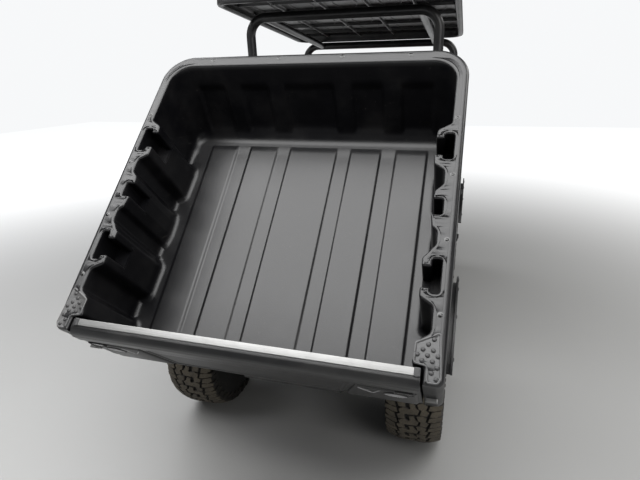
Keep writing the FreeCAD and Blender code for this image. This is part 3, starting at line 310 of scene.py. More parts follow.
@dataclass(frozen=True)
class CoatedSteel(Finish):
    """Powder coated steel: orange peel, rub marks at random and grey road film."""

    peel: float = 0.0022
    film: float = 0.18
    coat: float = 0.0

    def build(self, shader: Shader) -> bpy.types.Material:
        """Orange peel as bump, film and rubbed patches in colour and roughness."""
        peel = shader.noise(self.peel, 2.0, 0.4)
        cloud = shader.noise(0.11, 4.0, 0.62)
        rub = shader.noise(0.018, 5.0, 0.72).step(0.63, 0.72)
        base = shader.blend(cloud.step(0.3, 0.75), self.shade(0.8),
                            tuple(c * 1.25 + 0.002 for c in self.colour))
        film = cloud.step(0.4, 0.8) * self.film + rub * 0.12
        tinted = shader.blend(film, base, (0.21, 0.195, 0.17))
        rough = self.roughness + (cloud - 0.5) * 0.2 + rub * 0.12
        return shader.finish({"Base Color": tinted, "Roughness": rough, "Normal": shader.bump(peel, 0.00018),
                              "Coat Weight": self.coat, "Coat Roughness": 0.12})


@dataclass(frozen=True)
class BareMetal(Finish):
    """Bare metal with a drawn grain along one axis and a dull bloom."""

    along: tuple[float, float, float] = (0.02, 1.0, 1.0)
    bloom: float = 0.2
    heat: float = 0.0

    def build(self, shader: Shader) -> bpy.types.Material:
        """Stretched noise as grain in colour, roughness and bump."""
        lines = shader.noise(0.0016, 3.0, 0.6, shader.stretch(self.along))
        cloud = shader.noise(0.05, 4.0, 0.65)
        base = shader.blend(lines.step(0.2, 0.8), self.shade(0.82), self.shade(1.1))
        stained = shader.blend(cloud.step(0.45, 0.8) * self.bloom, base, self.shade(0.45))
        if self.heat:
            stained = shader.blend(shader.noise(0.07, 2.0).step(0.35, 0.7) * self.heat, stained,
                                   (0.22, 0.15, 0.10))
        rough = self.roughness + (lines - 0.5) * 0.16 + (cloud - 0.5) * 0.18
        return shader.finish({"Base Color": stained, "Roughness": rough, "Metallic": 1.0,
                              "Normal": shader.bump(lines, 0.00008)})


@dataclass(frozen=True)
class CastAlloy(Finish):
    """Sand cast alloy: pitted, grey and a little oily."""

    pits: float = 0.0016

    def build(self, shader: Shader) -> bpy.types.Material:
        """Pits as bump, oil in colour and roughness."""
        pits = shader.cells(self.pits)
        oil = shader.noise(0.07, 5.0, 0.65).step(0.5, 0.72)
        base = shader.blend(oil, self.colour, self.shade(0.35))
        rough = self.roughness - oil * 0.12 + (shader.noise(0.01) - 0.5) * 0.15
        return shader.finish({"Base Color": base, "Roughness": rough, "Metallic": 0.75,
                              "Normal": shader.bump(pits, 0.0003)})


@dataclass(frozen=True)
class TyreRubber(Finish):
    """Tyre rubber whose tread tops carry tan dust; the attribute tread marks them."""

    dust: Colour = (0.085, 0.072, 0.052)

    def build(self, shader: Shader) -> bpy.types.Material:
        """Dust over the worn tops, thinner on the sides, with fine moulding lines."""
        top = shader.attribute("tread")
        grit = shader.noise(0.004, 4.0, 0.7)
        patch = shader.noise(0.045, 4.0, 0.6)
        tops = top * (0.45 + patch.step(0.2, 0.6) * 0.5) * grit.step(0.15, 0.6)
        cover = tops + (1.0 - top) * patch.step(0.45, 0.8) * 0.16
        base = shader.blend(patch, self.shade(0.8), self.shade(1.4))
        tint = shader.blend(grit, self.dust, tuple(min(1.0, c * 1.35) for c in self.dust))
        colour = shader.blend(cover, base, tint)
        normal = shader.bump(grit * 0.6 + shader.noise(0.0012, 2.0) * 0.4, 0.0004)
        return shader.finish({"Base Color": colour, "Roughness": self.roughness + cover * 0.15,
                              "Normal": normal})


@dataclass(frozen=True)
class Vinyl(Finish):
    """Seat vinyl with a fine hide grain and soft creases."""

    sheen: float = 0.15

    def build(self, shader: Shader) -> bpy.types.Material:
        """Hide grain and creases as bump, rubbed sheen in roughness."""
        hide = shader.cells(0.0028, "SMOOTH_F1")
        crease = shader.noise(0.035, 5.0, 0.6)
        worn = shader.noise(0.12, 3.0).step(0.4, 0.7)
        base = shader.blend(worn, self.shade(0.8), self.shade(1.25))
        normal = shader.bump(hide, 0.00022, 1.0, shader.bump(crease, 0.0012, 0.6))
        return shader.finish({"Base Color": base, "Roughness": self.roughness - worn * 0.1, "Normal": normal,
                              "Sheen Weight": self.sheen})


@dataclass(frozen=True)
class LampLens(Finish):
    """Ribbed lamp lens, coloured in depth, over a darker ground."""

    rib: float = 0.006

    def build(self, shader: Shader) -> bpy.types.Material:
        """Crossed ribs as bump and colour."""
        across = shader.maths("SINE", shader.axis("X") * (math.tau / self.rib))
        up = shader.maths("SINE", shader.axis("Z") * (math.tau / self.rib))
        ribs = (across * up) * 0.5 + 0.5
        base = shader.blend(ribs, self.shade(0.45), self.colour)
        return shader.finish({"Base Color": base, "Roughness": self.roughness + (ribs - 0.5) * 0.05,
                              "Normal": shader.bump(ribs, 0.0006), "Coat Weight": 1.0,
                              "Coat Roughness": 0.04})


@dataclass(frozen=True)
class StageFloor(Finish):
    """Plain pale floor of the stage that fades to white far out, so that no horizon shows."""

    near: float = 1.7
    far: float = 7.5

    def build(self, shader: Shader) -> bpy.types.Material:
        """Near flat colour with a very faint cloud, and a glow that grows with the distance from the middle.

        The glow shows to the camera, in gloss and through clear lenses, and lights nothing.
        """
        x, y = shader.axis("X"), shader.axis("Y")
        away = shader.maths("SQRT", x * x + y * y).step(self.near, self.far)
        path = shader.node("LightPath")
        camera, gloss, clear = (shader.link(path, "Is %s Ray" % kind)
                                for kind in ("Camera", "Glossy", "Transmission"))
        seen = shader.maths("MAXIMUM", camera, shader.maths("MAXIMUM", gloss, clear))
        base = shader.blend(shader.noise(0.6, 3.0), self.shade(0.97), self.colour)
        glow = shader.blend(away * seen, (0.0, 0.0, 0.0), (0.93, 0.94, 0.95))
        return shader.finish({"Base Color": base, "Roughness": self.roughness, "Emission Color": glow,
                              "Emission Strength": 1.0})


BED_PLASTIC = MouldedPlastic("bed_plastic", (0.0035, 0.0035, 0.0042), 0.33, depth=0.00018, gloss=0.5,
                             matt=0.09, dust=0.02)
GATE_PLASTIC = MouldedPlastic("gate_plastic", (0.0075, 0.0076, 0.0080), 0.38, depth=0.0002, dust=0.04)
# Pale grey plastic: on the gate facets' ribs and along the roof's long ribs it is a painted highlight of their
# edges; on the grille's wires it is their pale colour.
PALE_GREY_AND_HIGHLIGHT = MouldedPlastic("worn_edge", (0.42, 0.42, 0.43), 0.5, dust=0.2)
PAD_PLASTIC = MouldedPlastic("pad_plastic", (0.052, 0.052, 0.053), 0.36, depth=0.0002, dust=0.12)
TRIM_PLASTIC = MouldedPlastic("trim_plastic", (0.014, 0.014, 0.015), 0.42, grain=0.0024, dust=0.08)
ROOF_PLASTIC = MouldedPlastic("roof_plastic", (0.009, 0.009, 0.0098), 0.36, grain=0.002, dust=0.05)
CAB_PLASTIC = MouldedPlastic("cab_plastic", (0.016, 0.016, 0.017), 0.5, grain=0.002, dust=0.12)
FLOOR_RUBBER = MouldedPlastic("floor_rubber", (0.012, 0.012, 0.012), 0.62, grain=0.005, depth=0.0006,
                              dust=0.25)
BODY_PAINT = CoatedSteel("body_paint", (0.16, 0.012, 0.010), 0.28, film=0.02, coat=0.8)
FRAME_STEEL = CoatedSteel("frame_steel", (0.018, 0.018, 0.019), 0.42)
CAGE_BLACK = CoatedSteel("cage_black", (0.011, 0.011, 0.012), 0.34, film=0.06)
SPRING_PAINT = CoatedSteel("spring_paint", (0.045, 0.045, 0.048), 0.3, film=0.06, coat=0.5)
STRUT_BLACK = CoatedSteel("strut_black", (0.010, 0.010, 0.010), 0.22, film=0.04, coat=0.4)
CAST_GREY = CastAlloy("cast_grey", (0.34, 0.34, 0.33), 0.48)
WHEEL_ALLOY = CastAlloy("wheel_alloy", (0.05, 0.05, 0.052), 0.32, pits=0.003)
SHAFT_STEEL = BareMetal("shaft_steel", (0.36, 0.355, 0.34), 0.38, bloom=0.5)
ROD_CHROME = BareMetal("rod_chrome", (0.72, 0.72, 0.72), 0.12, bloom=0.05)
PIPE_STEEL = BareMetal("pipe_steel", (0.42, 0.38, 0.33), 0.42, bloom=0.4, heat=0.7)
EDGE_ALUMINIUM = BareMetal("edge_aluminium", (0.31, 0.31, 0.306), 0.52, bloom=0.12)
BOLT_ZINC = BareMetal("bolt_zinc", (0.55, 0.55, 0.53), 0.3, bloom=0.3)
TREAD_RUBBER = TyreRubber("tread_rubber", (0.0085, 0.0082, 0.008), 0.74)
BOOT_RUBBER = MouldedPlastic("boot_rubber", (0.013, 0.013, 0.013), 0.6, grain=0.0012, dust=0.15)
SEAT_VINYL = Vinyl("seat_vinyl", (0.022, 0.022, 0.023), 0.46)
LENS_CLEAR = LampLens("lens_clear", (0.72, 0.74, 0.76), 0.08)
LENS_RED = LampLens("lens_red", (0.42, 0.012, 0.010), 0.1)
LENS_DARK = LampLens("lens_dark", (0.028, 0.026, 0.026), 0.12, rib=0.0045)


# mesh building

ACROSS = (1.0, 0.0, 0.0)
AHEAD = (0.0, 1.0, 0.0)
UP = (0.0, 0.0, 1.0)


def smooth(t: Array) -> Array:
    """Smooth step of values clipped to 0..1: 3t^2 - 2t^3."""
    t = np.clip(t, 0.0, 1.0)
    return t * t * (3.0 - 2.0 * t)


def signed_area(outline: Array) -> float:
    """Twice the area within a closed flat outline, positive where it turns left: the sum of x y' - x' y."""
    nxt = np.roll(outline, -1, axis=0)
    return float(np.sum(outline[:, 0] * nxt[:, 1] - nxt[:, 0] * outline[:, 1]))


def edge_normals(outline: Array) -> Array:
    """Unit normals to the right of a closed flat outline, across the line through the neighbours."""
    step = np.roll(outline, -1, axis=0) - np.roll(outline, 1, axis=0)
    step /= np.maximum(np.linalg.norm(step, axis=1), 1e-9)[:, None]
    return np.stack([step[:, 1], -step[:, 0]], axis=1)


class MeshParts:
    """Points and faces of one piece, gathered part by part and made into one mesh."""

    def __init__(self) -> None:
        """Start with nothing gathered."""
        self.points: list[Array] = []
        self.faces: list[tuple[Array, int]] = []
        self.marks: list[Array] = []
        self.count = 0

    def add(self, points: Array, faces: Array, slot: int = 0, mark: Union[float, Array] = 0.0) -> None:
        """Add points and faces.

        Args:
            points: (n, 3) places.
            faces: (m, 3) or (m, 4) indices into those points.
            slot: material slot of these faces.
            mark: value of the tread attribute, one or one per point.
        """
        points = np.asarray(points, dtype=float).reshape(-1, 3)
        self.points.append(points)
        self.faces.append((np.asarray(faces, dtype=int) + self.count, slot))
        self.marks.append(np.broadcast_to(np.asarray(mark, dtype=float).reshape(-1), (len(points),)))
        self.count += len(points)

    def grid(self, places: Array, loop_rows: bool = False, loop_columns: bool = False, flip: bool = False,
             slot: int = 0, mark: Union[float, Array] = 0.0) -> None:
        """Add a sheet of quads over a (rows, columns, 3) array of places.

        Each face joins the places (i, j), (i, j + 1), (i + 1, j + 1), (i + 1, j).

        Args:
            places: the array of places.
            loop_rows: join the last row to the first.
            loop_columns: join the last column to the first.
            flip: turn the faces round.
            slot: material slot of the faces.
            mark: value of the tread attribute.
        """
        n, m = places.shape[:2]
        index = np.arange(n * m).reshape(n, m)
        if loop_rows:
            index = np.vstack([index, index[:1]])
        if loop_columns:
            index = np.hstack([index, index[:, :1]])
        quads = np.stack([index[:-1, :-1], index[:-1, 1:], index[1:, 1:], index[1:, :-1]],
                         axis=-1).reshape(-1, 4)
        self.add(places.reshape(-1, 3), quads[:, ::-1] if flip else quads, slot, mark)

    def flat(self, outline: Array, flip: bool = False, slot: int = 0,
             mark: Union[float, Array] = 0.0) -> None:
        """Add a flat polygon, split into triangles, from its (n, 3) outline."""
        outline = np.asarray(outline, dtype=float)
        tris = np.asarray(tessellate_polygon([[Vector(p) for p in outline]]), dtype=int)
        if len(tris):
            a, b, c = (outline[tris[:, k]] for k in range(3))
            area = np.cross(b - a, c - a).sum(axis=0)
            way = np.cross(outline - outline[0], np.roll(outline, -1, axis=0) - outline[0]).sum(axis=0)
            turned = float(area @ way) < 0
            self.add(outline, tris[:, ::-1] if turned != flip else tris, slot, mark)

    def plate(self, outline: Array, section: Sequence[tuple[float, float]], place: Callable[[Array], Array],
              slot: int = 0) -> None:
        """Add a closed plate: its outline swept through steps of inset and height and capped at both ends.

        Each step is outline - n inset at one height, n being the outline's outward normal.

        Args:
            outline: (n, 2) flat outline.
            section: (inset, height) steps from the underside to the top.
            place: maps (n, 3) places of outline and height to metres in the frame.
            slot: material slot.
        """
        if signed_area(outline) < 0:
            outline = outline[::-1]
        away = edge_normals(outline)
        levels = [place(np.column_stack([outline - away * inset, np.full(len(outline), height)]))
                  for inset, height in section]
        probe = place(np.array([(0.0, 0.0, 0.0), ACROSS, AHEAD, UP]))
        u, v, w = probe[1] - probe[0], probe[2] - probe[0], probe[3] - probe[0]
        turned = (float(np.dot(np.cross(u, v), w)) < 0) != (section[-1][1] < section[0][1])
        self.grid(np.stack(levels), loop_columns=True, flip=turned, slot=slot)
        self.flat(levels[-1], flip=turned, slot=slot)
        self.flat(levels[0], flip=not turned, slot=slot)

    def turned(self, profile: Sequence[tuple[float, float]], count: int, places: Sequence[Array],
               slot: int = 0) -> None:
        """Add a lathed shape at many places: its point p goes to M p for each matrix M.

        Args:
            profile: its (radius, height) pairs in mm.
            count: how many points round.
            places: a 4x4 matrix for each copy.
            slot: material slot.
        """
        points, faces = lathe(profile, count)
        stack = np.stack(places)
        moved = np.einsum("kij,nj->kni", stack[:, :3, :3], points) + stack[:, None, :3, 3]
        shift = np.arange(len(stack))[:, None, None] * len(points)
        self.add(moved, (faces[None] + shift).reshape(-1, 4), slot)

    def build(self, name: str, *finishes: Finish, weld: float = 2e-5, sharp: float = 35.0,
              attribute: Optional[str] = None) -> bpy.types.Object:
        """Make the mesh object.

        Args:
            name: the piece's name.
            finishes: its finishes in slot order.
            weld: points nearer than this are merged.
            sharp: edges that turn more than this many degrees stay sharp.
            attribute: name under which the marks are kept.

        Returns:
            The object, linked to the scene.
        """
        mesh = bpy.data.meshes.new(name)
        points = np.concatenate(self.points)
        corners = np.concatenate([f.reshape(-1) for f, _ in self.faces])
        sizes = np.concatenate([np.full(len(f), f.shape[1]) for f, _ in self.faces])
        slots = np.concatenate([np.full(len(f), slot) for f, slot in self.faces])
        mesh.vertices.add(len(points))
        mesh.vertices.foreach_set("co", points.astype(np.float32).ravel())
        mesh.loops.add(len(corners))
        mesh.loops.foreach_set("vertex_index", corners.astype(np.int32))
        mesh.polygons.add(len(sizes))
        mesh.polygons.foreach_set("loop_start", (np.cumsum(sizes) - sizes).astype(np.int32))
        mesh.polygons.foreach_set("material_index", slots.astype(np.int32))
        mesh.update(calc_edges=True)
        mesh.validate()
        if attribute:
            layer = mesh.attributes.new(attribute, "FLOAT", "POINT")
            layer.data.foreach_set("value", np.concatenate(self.marks).astype(np.float32))
        if weld:
            work = bmesh.new()
            work.from_mesh(mesh)
            bmesh.ops.remove_doubles(work, verts=work.verts, dist=weld)
            bmesh.ops.dissolve_degenerate(work, edges=work.edges, dist=1e-7)
            work.to_mesh(mesh)
            work.free()
        mesh.shade_smooth()
        mesh.set_sharp_from_angle(angle=math.radians(sharp))
        for finish in finishes:
            mesh.materials.append(finish.material())
        item = bpy.data.objects.new(name, mesh)
        bpy.context.scene.collection.objects.link(item)
        LOG.info("%s: %d faces", name, len(mesh.polygons))
        return item


def ring(radius: Union[float, Array], count: int, start: float = 0.0) -> tuple[Array, Array]:
    """Cosine and sine points round a circle: (r cos a, r sin a) for count angles a."""
    angle = start + np.arange(count) * math.tau / count
    return radius * np.cos(angle), radius * np.sin(angle)


def lathe(profile: Sequence[tuple[float, float]], count: int) -> tuple[Array, Array]:
    """Turn a profile of (radius, height) pairs round the local Z axis.

    A point is (r cos a, r sin a, h); rows follow the profile and columns the angle.

    Args:
        profile: the (radius, height) pairs in mm.
        count: how many points round.

    Returns:
        Points (n, 3) in metres and quads (m, 4), facing outwards for a profile that climbs.
    """
    pairs = np.asarray(profile, dtype=float) * 0.001
    cos, sin = ring(1.0, count)
    places = np.stack([np.outer(pairs[:, 0], cos), np.outer(pairs[:, 0], sin),
                       np.repeat(pairs[:, 1:2], count, axis=1)], axis=-1)
    index = np.arange(len(pairs) * count).reshape(len(pairs), count)
    index = np.hstack([index, index[:, :1]])
    quads = np.stack([index[:-1, :-1], index[:-1, 1:], index[1:, 1:], index[1:, :-1]], axis=-1).reshape(-1, 4)
    return places.reshape(-1, 3), quads


def placed(where: Sequence[float], axis: Sequence[float] = (0, 0, 1), spin: float = 0.0) -> Array:
    """A 4x4 matrix that takes the local Z axis to an axis at a place, spun about it."""
    turn = Vector((0, 0, 1)).rotation_difference(Vector(axis)).to_matrix().to_4x4()
    return np.array(Matrix.Translation(Vector(where)) @ turn @ Matrix.Rotation(spin, 4, "Z"))


def rounded_path(points: Array, radius: Union[float, Sequence[float]], step: float,
                 closed: bool = False) -> Array:
    """A path of straight runs joined by arcs, sampled about one step apart.

    At each corner the arc of radius r leaves the runs r tan(turn / 2) from the corner, and
    less where a run is short.

    Args:
        points: (n, d) corners.
        radius: one radius, or one for each corner.
        step: spacing of the samples.
        closed: whether the last corner joins the first.

    Returns:
        (m, d) samples.
    """
    pts = np.asarray(points, dtype=float)
    n = len(pts)
    radii = np.broadcast_to(np.asarray(radius, dtype=float), (n,))
    out: list[Array] = []
    for i in range(n):
        here = pts[i]
        if not closed and i in (0, n - 1):
            out.append(here[None])
            continue
        before, after = pts[i - 1] - here, pts[(i + 1) % n] - here
        la, lb = np.linalg.norm(before), np.linalg.norm(after)
        a, b = before / la, after / lb
        turn = math.pi - math.acos(float(np.clip(a @ b, -1, 1)))
        if turn < 1e-3 or radii[i] <= 0:
            out.append(here[None])
            continue
        cut = min(radii[i] * math.tan(turn / 2), la * 0.49, lb * 0.49)
        r = cut / math.tan(turn / 2)
        centre = here + (a + b) / np.linalg.norm(a + b) * (r / math.cos(turn / 2))
        count = max(3, int(math.ceil(r * turn / step)) + 1)
        p, q = here + a * cut - centre, here + b * cut - centre
        t = np.linspace(0.0, 1.0, count)[:, None]
        out.append(centre + (np.sin((1 - t) * turn) * p + np.sin(t * turn) * q) / math.sin(turn))
    line = np.concatenate(out)
    if closed:
        line = np.vstack([line, line[:1]])
    full = [line[:1]]
    for p, q in zip(line[:-1], line[1:]):
        count = max(1, int(math.ceil(np.linalg.norm(q - p) / step)))
        full.append(p + (q - p) * (np.arange(1, count + 1) / count)[:, None])
    line = np.concatenate(full)
    keep = np.concatenate([[True], np.linalg.norm(np.diff(line, axis=0), axis=1) > step * 0.02])
    line = line[keep]
    return line[:-1] if closed else line


def sideways(path: Array) -> Array:
    """Unit normals to the left of a flat open path, from the mean direction of its neighbours."""
    along = np.gradient(path, axis=0)
    along /= np.linalg.norm(along, axis=1)[:, None]
    return np.stack([-along[:, 1], along[:, 0]], axis=1)


def tube_along(path: Array, radius: float, sides: int = 16) -> Array:
    """Places of a round tube along a path.

    Each ring is centre + r (u cos a + v sin a), with u and v carried along the path by
    turning them as little as the path turns.

    Args:
        path: (n, 3) centre line.
        radius: the tube's radius.
        sides: points round the tube.

    Returns:
        (n, sides, 3) places.
    """
    along = np.gradient(path, axis=0)
    along /= np.linalg.norm(along, axis=1)[:, None]
    u = np.zeros_like(along)
    start = np.cross(along[0], (0.0, 0.0, 1.0) if abs(along[0][2]) < 0.9 else (1.0, 0.0, 0.0))
    u[0] = start / np.linalg.norm(start)
    for i in range(1, len(path)):
        side = u[i - 1] - along[i] * (u[i - 1] @ along[i])
        u[i] = side / np.linalg.norm(side)
    v = np.cross(along, u)
    cos, sin = ring(radius, sides)
    return path[:, None, :] + u[:, None, :] * cos[None, :, None] + v[:, None, :] * sin[None, :, None]


# the tipped bed

def axle_line() -> float:
    """The rear axle's place along the vehicle, in metres, read from the rear tyre's box."""
    low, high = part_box("tyre_rear_left")
    return (low[1] + high[1]) / 2


AXLE_Y = axle_line()


@dataclass(frozen=True)
class BedPlace:
    """The lowered bed's own coordinates in mm (across, ahead of the tailgate, height) and its tilt."""

    rear_mm: float = -661.0
    pivot_mm: tuple[float, float] = (-315.0, 824.0)
    tilt: float = 44.6

    def lift(self, places: Array) -> Array:
        """Tip places about the pivot: y' = y cos a - z sin a, z' = y sin a + z cos a.

        Args:
            places: (..., 3) across, ahead of the tailgate and height, in mm.

        Returns:
            The same places in metres in the frame.
        """
        a = math.radians(self.tilt)
        y = places[..., 1] + self.rear_mm - self.pivot_mm[0]
        z = places[..., 2] - self.pivot_mm[1]
        out = np.empty(places.shape, dtype=float)
        out[..., 0] = places[..., 0]
        out[..., 1] = self.pivot_mm[0] + y * math.cos(a) - z * math.sin(a)
        out[..., 2] = self.pivot_mm[1] + y * math.sin(a) + z * math.cos(a)
        out *= 0.001
        out[..., 1] += AXLE_Y
        return out

    def matrix(self, where: Sequence[float], axis: Sequence[float] = (0, 0, 1)) -> Array:
        """Matrix that stands a shape given in metres at a place of the lowered bed, tipped with it."""
        centre = self.lift(np.asarray(where, dtype=float))
        ends = self.lift(np.asarray([(0.0, 0.0, 0.0), axis], dtype=float))
        return placed(centre, ends[1] - ends[0])


BED = BedPlace()


def ride_on(item: bpy.types.Object, body: str, finish: Finish, *nodes: str) -> bpy.types.Object:
    """Make a piece ride on a body and hide the nodes that it stands for."""
    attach(item, body)
    if nodes:
        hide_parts(*nodes)
    return item


def add_solidify(item: bpy.types.Object, thickness: float) -> None:
    """Give a sheet its wall, behind its faces."""
    wall = item.modifiers.new("wall", "SOLIDIFY")
    wall.thickness = thickness
    wall.offset = -1.0
    wall.use_even_offset = False


@dataclass
class BedTub:
    """Moulded tub: ribbed floor, corrugated walls and a wide rim with tie-down pockets, in mm."""

    rim: float = 1234.0
    floor: float = 914.0
    half: float = 640.0
    rear: float = -45.0
    front: float = 1206.0
    skin: float = 4.6
    inner_round: float = 8.0
    outer_round: float = 17.0
    pocket_depth: float = 118.0
    skirt: float = 62.0
    post_in: float = 582.0
    wall_start: float = 8.0
    post_foot: float = 901.0
    channels: tuple[tuple[float, float], ...] = ((103.0, 176.0), (296.0, 372.0))
    channel_depth: float = 8.0
    edge_drop: float = 5.0
    lip: float = 14.0
    panel_edge: float = 16.0
    floor_half: float = 505.0
    floor_end: float = 972.0
    side: tuple[tuple[float, float], ...] = (
        (545.0, 8.0), (566.0, 84.0), (591.0, 101.0), (590.0, 178.0), (548.0, 203.0), (545.0, 332.0),
        (565.0, 356.0), (568.0, 363.0), (582.0, 379.0), (581.0, 424.0), (564.0, 438.0), (557.0, 483.0),
        (558.0, 541.0), (562.0, 574.0), (587.0, 600.0), (586.0, 651.0), (549.0, 676.0), (547.0, 784.0),
        (551.0, 821.0), (596.0, 850.0))
    pockets: tuple[tuple[float, ...], ...] = (
        (220.0, 330.0, 577.0, 605.0, 237.0, 303.0), (485.0, 541.0, 574.0, 592.0, 485.0, 541.0),
        (699.0, 803.0, 577.0, 609.0, 716.0, 784.0))
    panels: tuple[tuple[float, float], ...] = ((0.0, 97.0), (247.0, 54.0), (450.0, 54.0))

    def wall_front(self, z: Union[float, Array]) -> Array:
        """The leaning front wall's distance from the tailgate: 1024 at the floor, 1146 at the rim."""
        return 1024.0 + 122.0 * (np.asarray(z) - self.floor) / (self.rim - self.floor)

    def side_run(self, slots: bool) -> Array:
        """Right half of the inner outline from the rear post up to the straight by the front wall.

        Args:
            slots: follow the tie-down pockets of the rim.

        Returns:
            (n, 2) samples of across and ahead.
        """
        corners = [(self.post_in, self.rear), (self.post_in, self.wall_start), *self.side, (596.0, 900.0)]
        radii = [0.0, 9.0, 9.0] + [17.0] * (len(self.side) - 1) + [0.0]
        run = rounded_path(np.array(corners), radii, 6.0)
        if not slots:
            return run
        lip = self.lip
        for h0, h1, u0, u1, t0, t1 in self.pockets:
            on_wall = run[:, 0] < 600.0
            ahead = run[:, 1]
            here = lambda v: (float(np.interp(v, ahead[20:], run[20:, 0])), v)
            corners = [here(t0 - lip), here(t0)]
            if t0 > h0:
                corners += [(u0, t0), (u0, h0)]
            corners += [(u1, h0), (u1, h1)]
            if t1 < h1:
                corners += [(u0, h1), (u0, t1)]
            corners += [here(t1), here(t1 + lip)]
            detour = rounded_path(np.array(corners), 7.0, 5.0)
            first = int(np.argmax((ahead > t0 - lip) & (np.arange(len(run)) > 20) & on_wall))
            last = int(np.argmax((ahead > t1 + lip) & (np.arange(len(run)) > 20) & on_wall))
            run = np.vstack([run[:first], detour, run[last:]])
        return run

    def ahead_run(self, z: Array) -> Array:
        """Front corner and half of the front wall at each height, without the wall's panels.

        The corner is an arc of radius 62 mm at the floor and 90 mm at the rim.

        Args:
            z: (k,) heights.

        Returns:
            (k, n, 2) across and ahead.
        """
        z = np.asarray(z, dtype=float)[:, None]
        lead = self.wall_front(z)
        r = 62.0 + 28.0 * (z - self.floor) / (self.rim - self.floor)
        t = np.linspace(0, 1, 14)[None, 1:-1]
        straight = np.stack([np.full((len(z), 12), 596.0), 900.0 + (lead - r - 900.0) * t], axis=-1)
        a = np.linspace(0, math.pi / 2, 15)[None, :]
        arc = np.stack([596.0 - r + r * np.cos(a), lead - r + r * np.sin(a)], axis=-1)
        across = (596.0 - r) * (1 - np.linspace(0, 1, 108)[None, 1:])
        wall = np.stack([across, lead + across * 0.0], axis=-1)
        return np.concatenate([straight, arc, wall], axis=1)

    def outline(self, z: Array, slots: bool) -> Array:
        """Whole inner outline, right rear to left rear, at each height: (k, n, 2)."""
        run = self.side_run(slots)
        half = np.concatenate([np.repeat(run[None], len(z), axis=0), self.ahead_run(z)], axis=1)
        other = half[:, -2::-1] * np.array([-1.0, 1.0])
        return np.concatenate([half, other], axis=1)

    def outer_run(self) -> Array:
        """Outer outline of the rim from the left rear round the front to the right rear."""
        h = self.half
        corners = [(-self.post_in, self.rear), (-h, self.rear), (-h, self.front), (h, self.front),
                   (h, self.rear), (self.post_in, self.rear)]
        return rounded_path(np.array(corners), [0.0, 24.0, 128.0, 128.0, 24.0, 0.0], 8.0)

    def closed_rim(self) -> tuple[Array, Array, int]:
        """The rim plate's closed edge, the round of its edge at each sample, and the inner samples' count."""
        inner = self.outline(np.array([self.rim]), True)[0]
        outer = self.outer_run()
        path = np.vstack([inner, outer[1:-1]])
        count = len(inner)
        r = np.full(len(path), self.inner_round)
        r[count:] = self.outer_round
        near = smooth((np.abs(path[:, 0]) - self.post_in - 20.0) / 25.0)
        rear = path[:, 1] < self.rear + 1.0
        r[rear] = self.inner_round + (self.outer_round - self.inner_round) * near[rear]
        for _ in range(6):
            r = (np.roll(r, 1) + r * 2 + np.roll(r, -1)) / 4
        return path, r, count

    def add_rim(self, parts: MeshParts) -> None:
        """Rim plate with its edge rolled down to the pockets inside and to the skirt outside.

        Down from the plate a row is path + n r (sin t - 1) at height rim - r (1 - cos t), where n
        points away from the plastic; below that the inner side follows the wall and the outer side
        drops straight.
        """
        path, r, count = self.closed_rim()
        away = -edge_normals(path)
        low = np.full(len(path), self.rim - self.pocket_depth)
        post = 1.0 - smooth((path[count:, 1] - 30.0) / 55.0)
        low[count:] = self.rim - self.skirt - (self.rim - self.skirt - self.post_foot) * post
        side_top = self.rim - r

        def level(z: Array, inset: Array) -> Array:
            """One row of places at its heights and insets: (n, 3)."""
            places = np.column_stack([path, z])
            places[:count] = self.row(z[:count], True)
            places[:, :2] += away * inset[:, None]
            return places

        levels = [level(self.rim - r * (1.0 - math.cos(t)), r * (math.sin(t) - 1.0))
                  for t in np.linspace(0.0, math.pi / 2, 7)]
        levels += [level(side_top + (low - side_top) * t, r * 0.0) for t in np.linspace(0.0, 1.0, 9)[1:]]
        places = BED.lift(np.stack(levels))
        polish = np.repeat([1.0] * 6 + [0.5] + [0.0] * 8, len(path))
        parts.grid(places, loop_columns=True, mark=polish)
        parts.flat(places[0], mark=1.0)

    def add_walls(self, parts: MeshParts) -> None:
        """Walls below the pockets, the filleted foot, and the shelf at each pocket's bottom.

        The fillet of radius f runs at height foot + f (1 - sin t), f (1 - cos t) in from the wall.
        """
        top = self.rim - self.pocket_depth
        bottom = self.floor - self.edge_drop
        probe = self.outline(np.array([top]), False)[0]
        back = probe[:, 1] <= self.wall_start + 0.5
        foot = np.where(back, 0.0, 26.0 + 12.0 * smooth((probe[:, 1] - 880.0) / 90.0))
        for _ in range(4):
            foot[1:-1] = (foot[:-2] + 2 * foot[1:-1] + foot[2:]) / 4
        foot[back] = 0.0
        z_foot = np.where(back, self.post_foot, bottom)
        levels = [self.row(z_foot + foot + (top - z_foot - foot) * t, False)
                  for t in np.linspace(0.0, 1.0, 12)[::-1]]
        for t in np.linspace(0.0, math.pi / 2, 7)[1:]:
            row = self.row(z_foot + foot * (1.0 - math.sin(t)), False)
            row[:, :2] += sideways(row[:, :2]) * (foot * (1.0 - math.cos(t)))[:, None]
            levels.append(row)
        parts.grid(BED.lift(np.stack(levels)),
                   mark=np.repeat([0.0] * 13 + [0.1, 0.3, 0.6, 0.85, 1.0], len(probe)))
        self.floor_edge = levels[-1][~back]
        self.add_shelves(parts, top)

    def row(self, z: Array, slots: bool) -> Array:
        """One row of the wall whose height may differ along the outline: (n, 3)."""
        low, high = self.floor - 20.0, self.rim
        a, b = self.outline(np.array([low, high]), slots)
        flat = a + (b - a) * ((z - low) / (high - low))[:, None]
        flat[:, 1] += self.sunk(flat, z)
        return np.column_stack([flat, z])

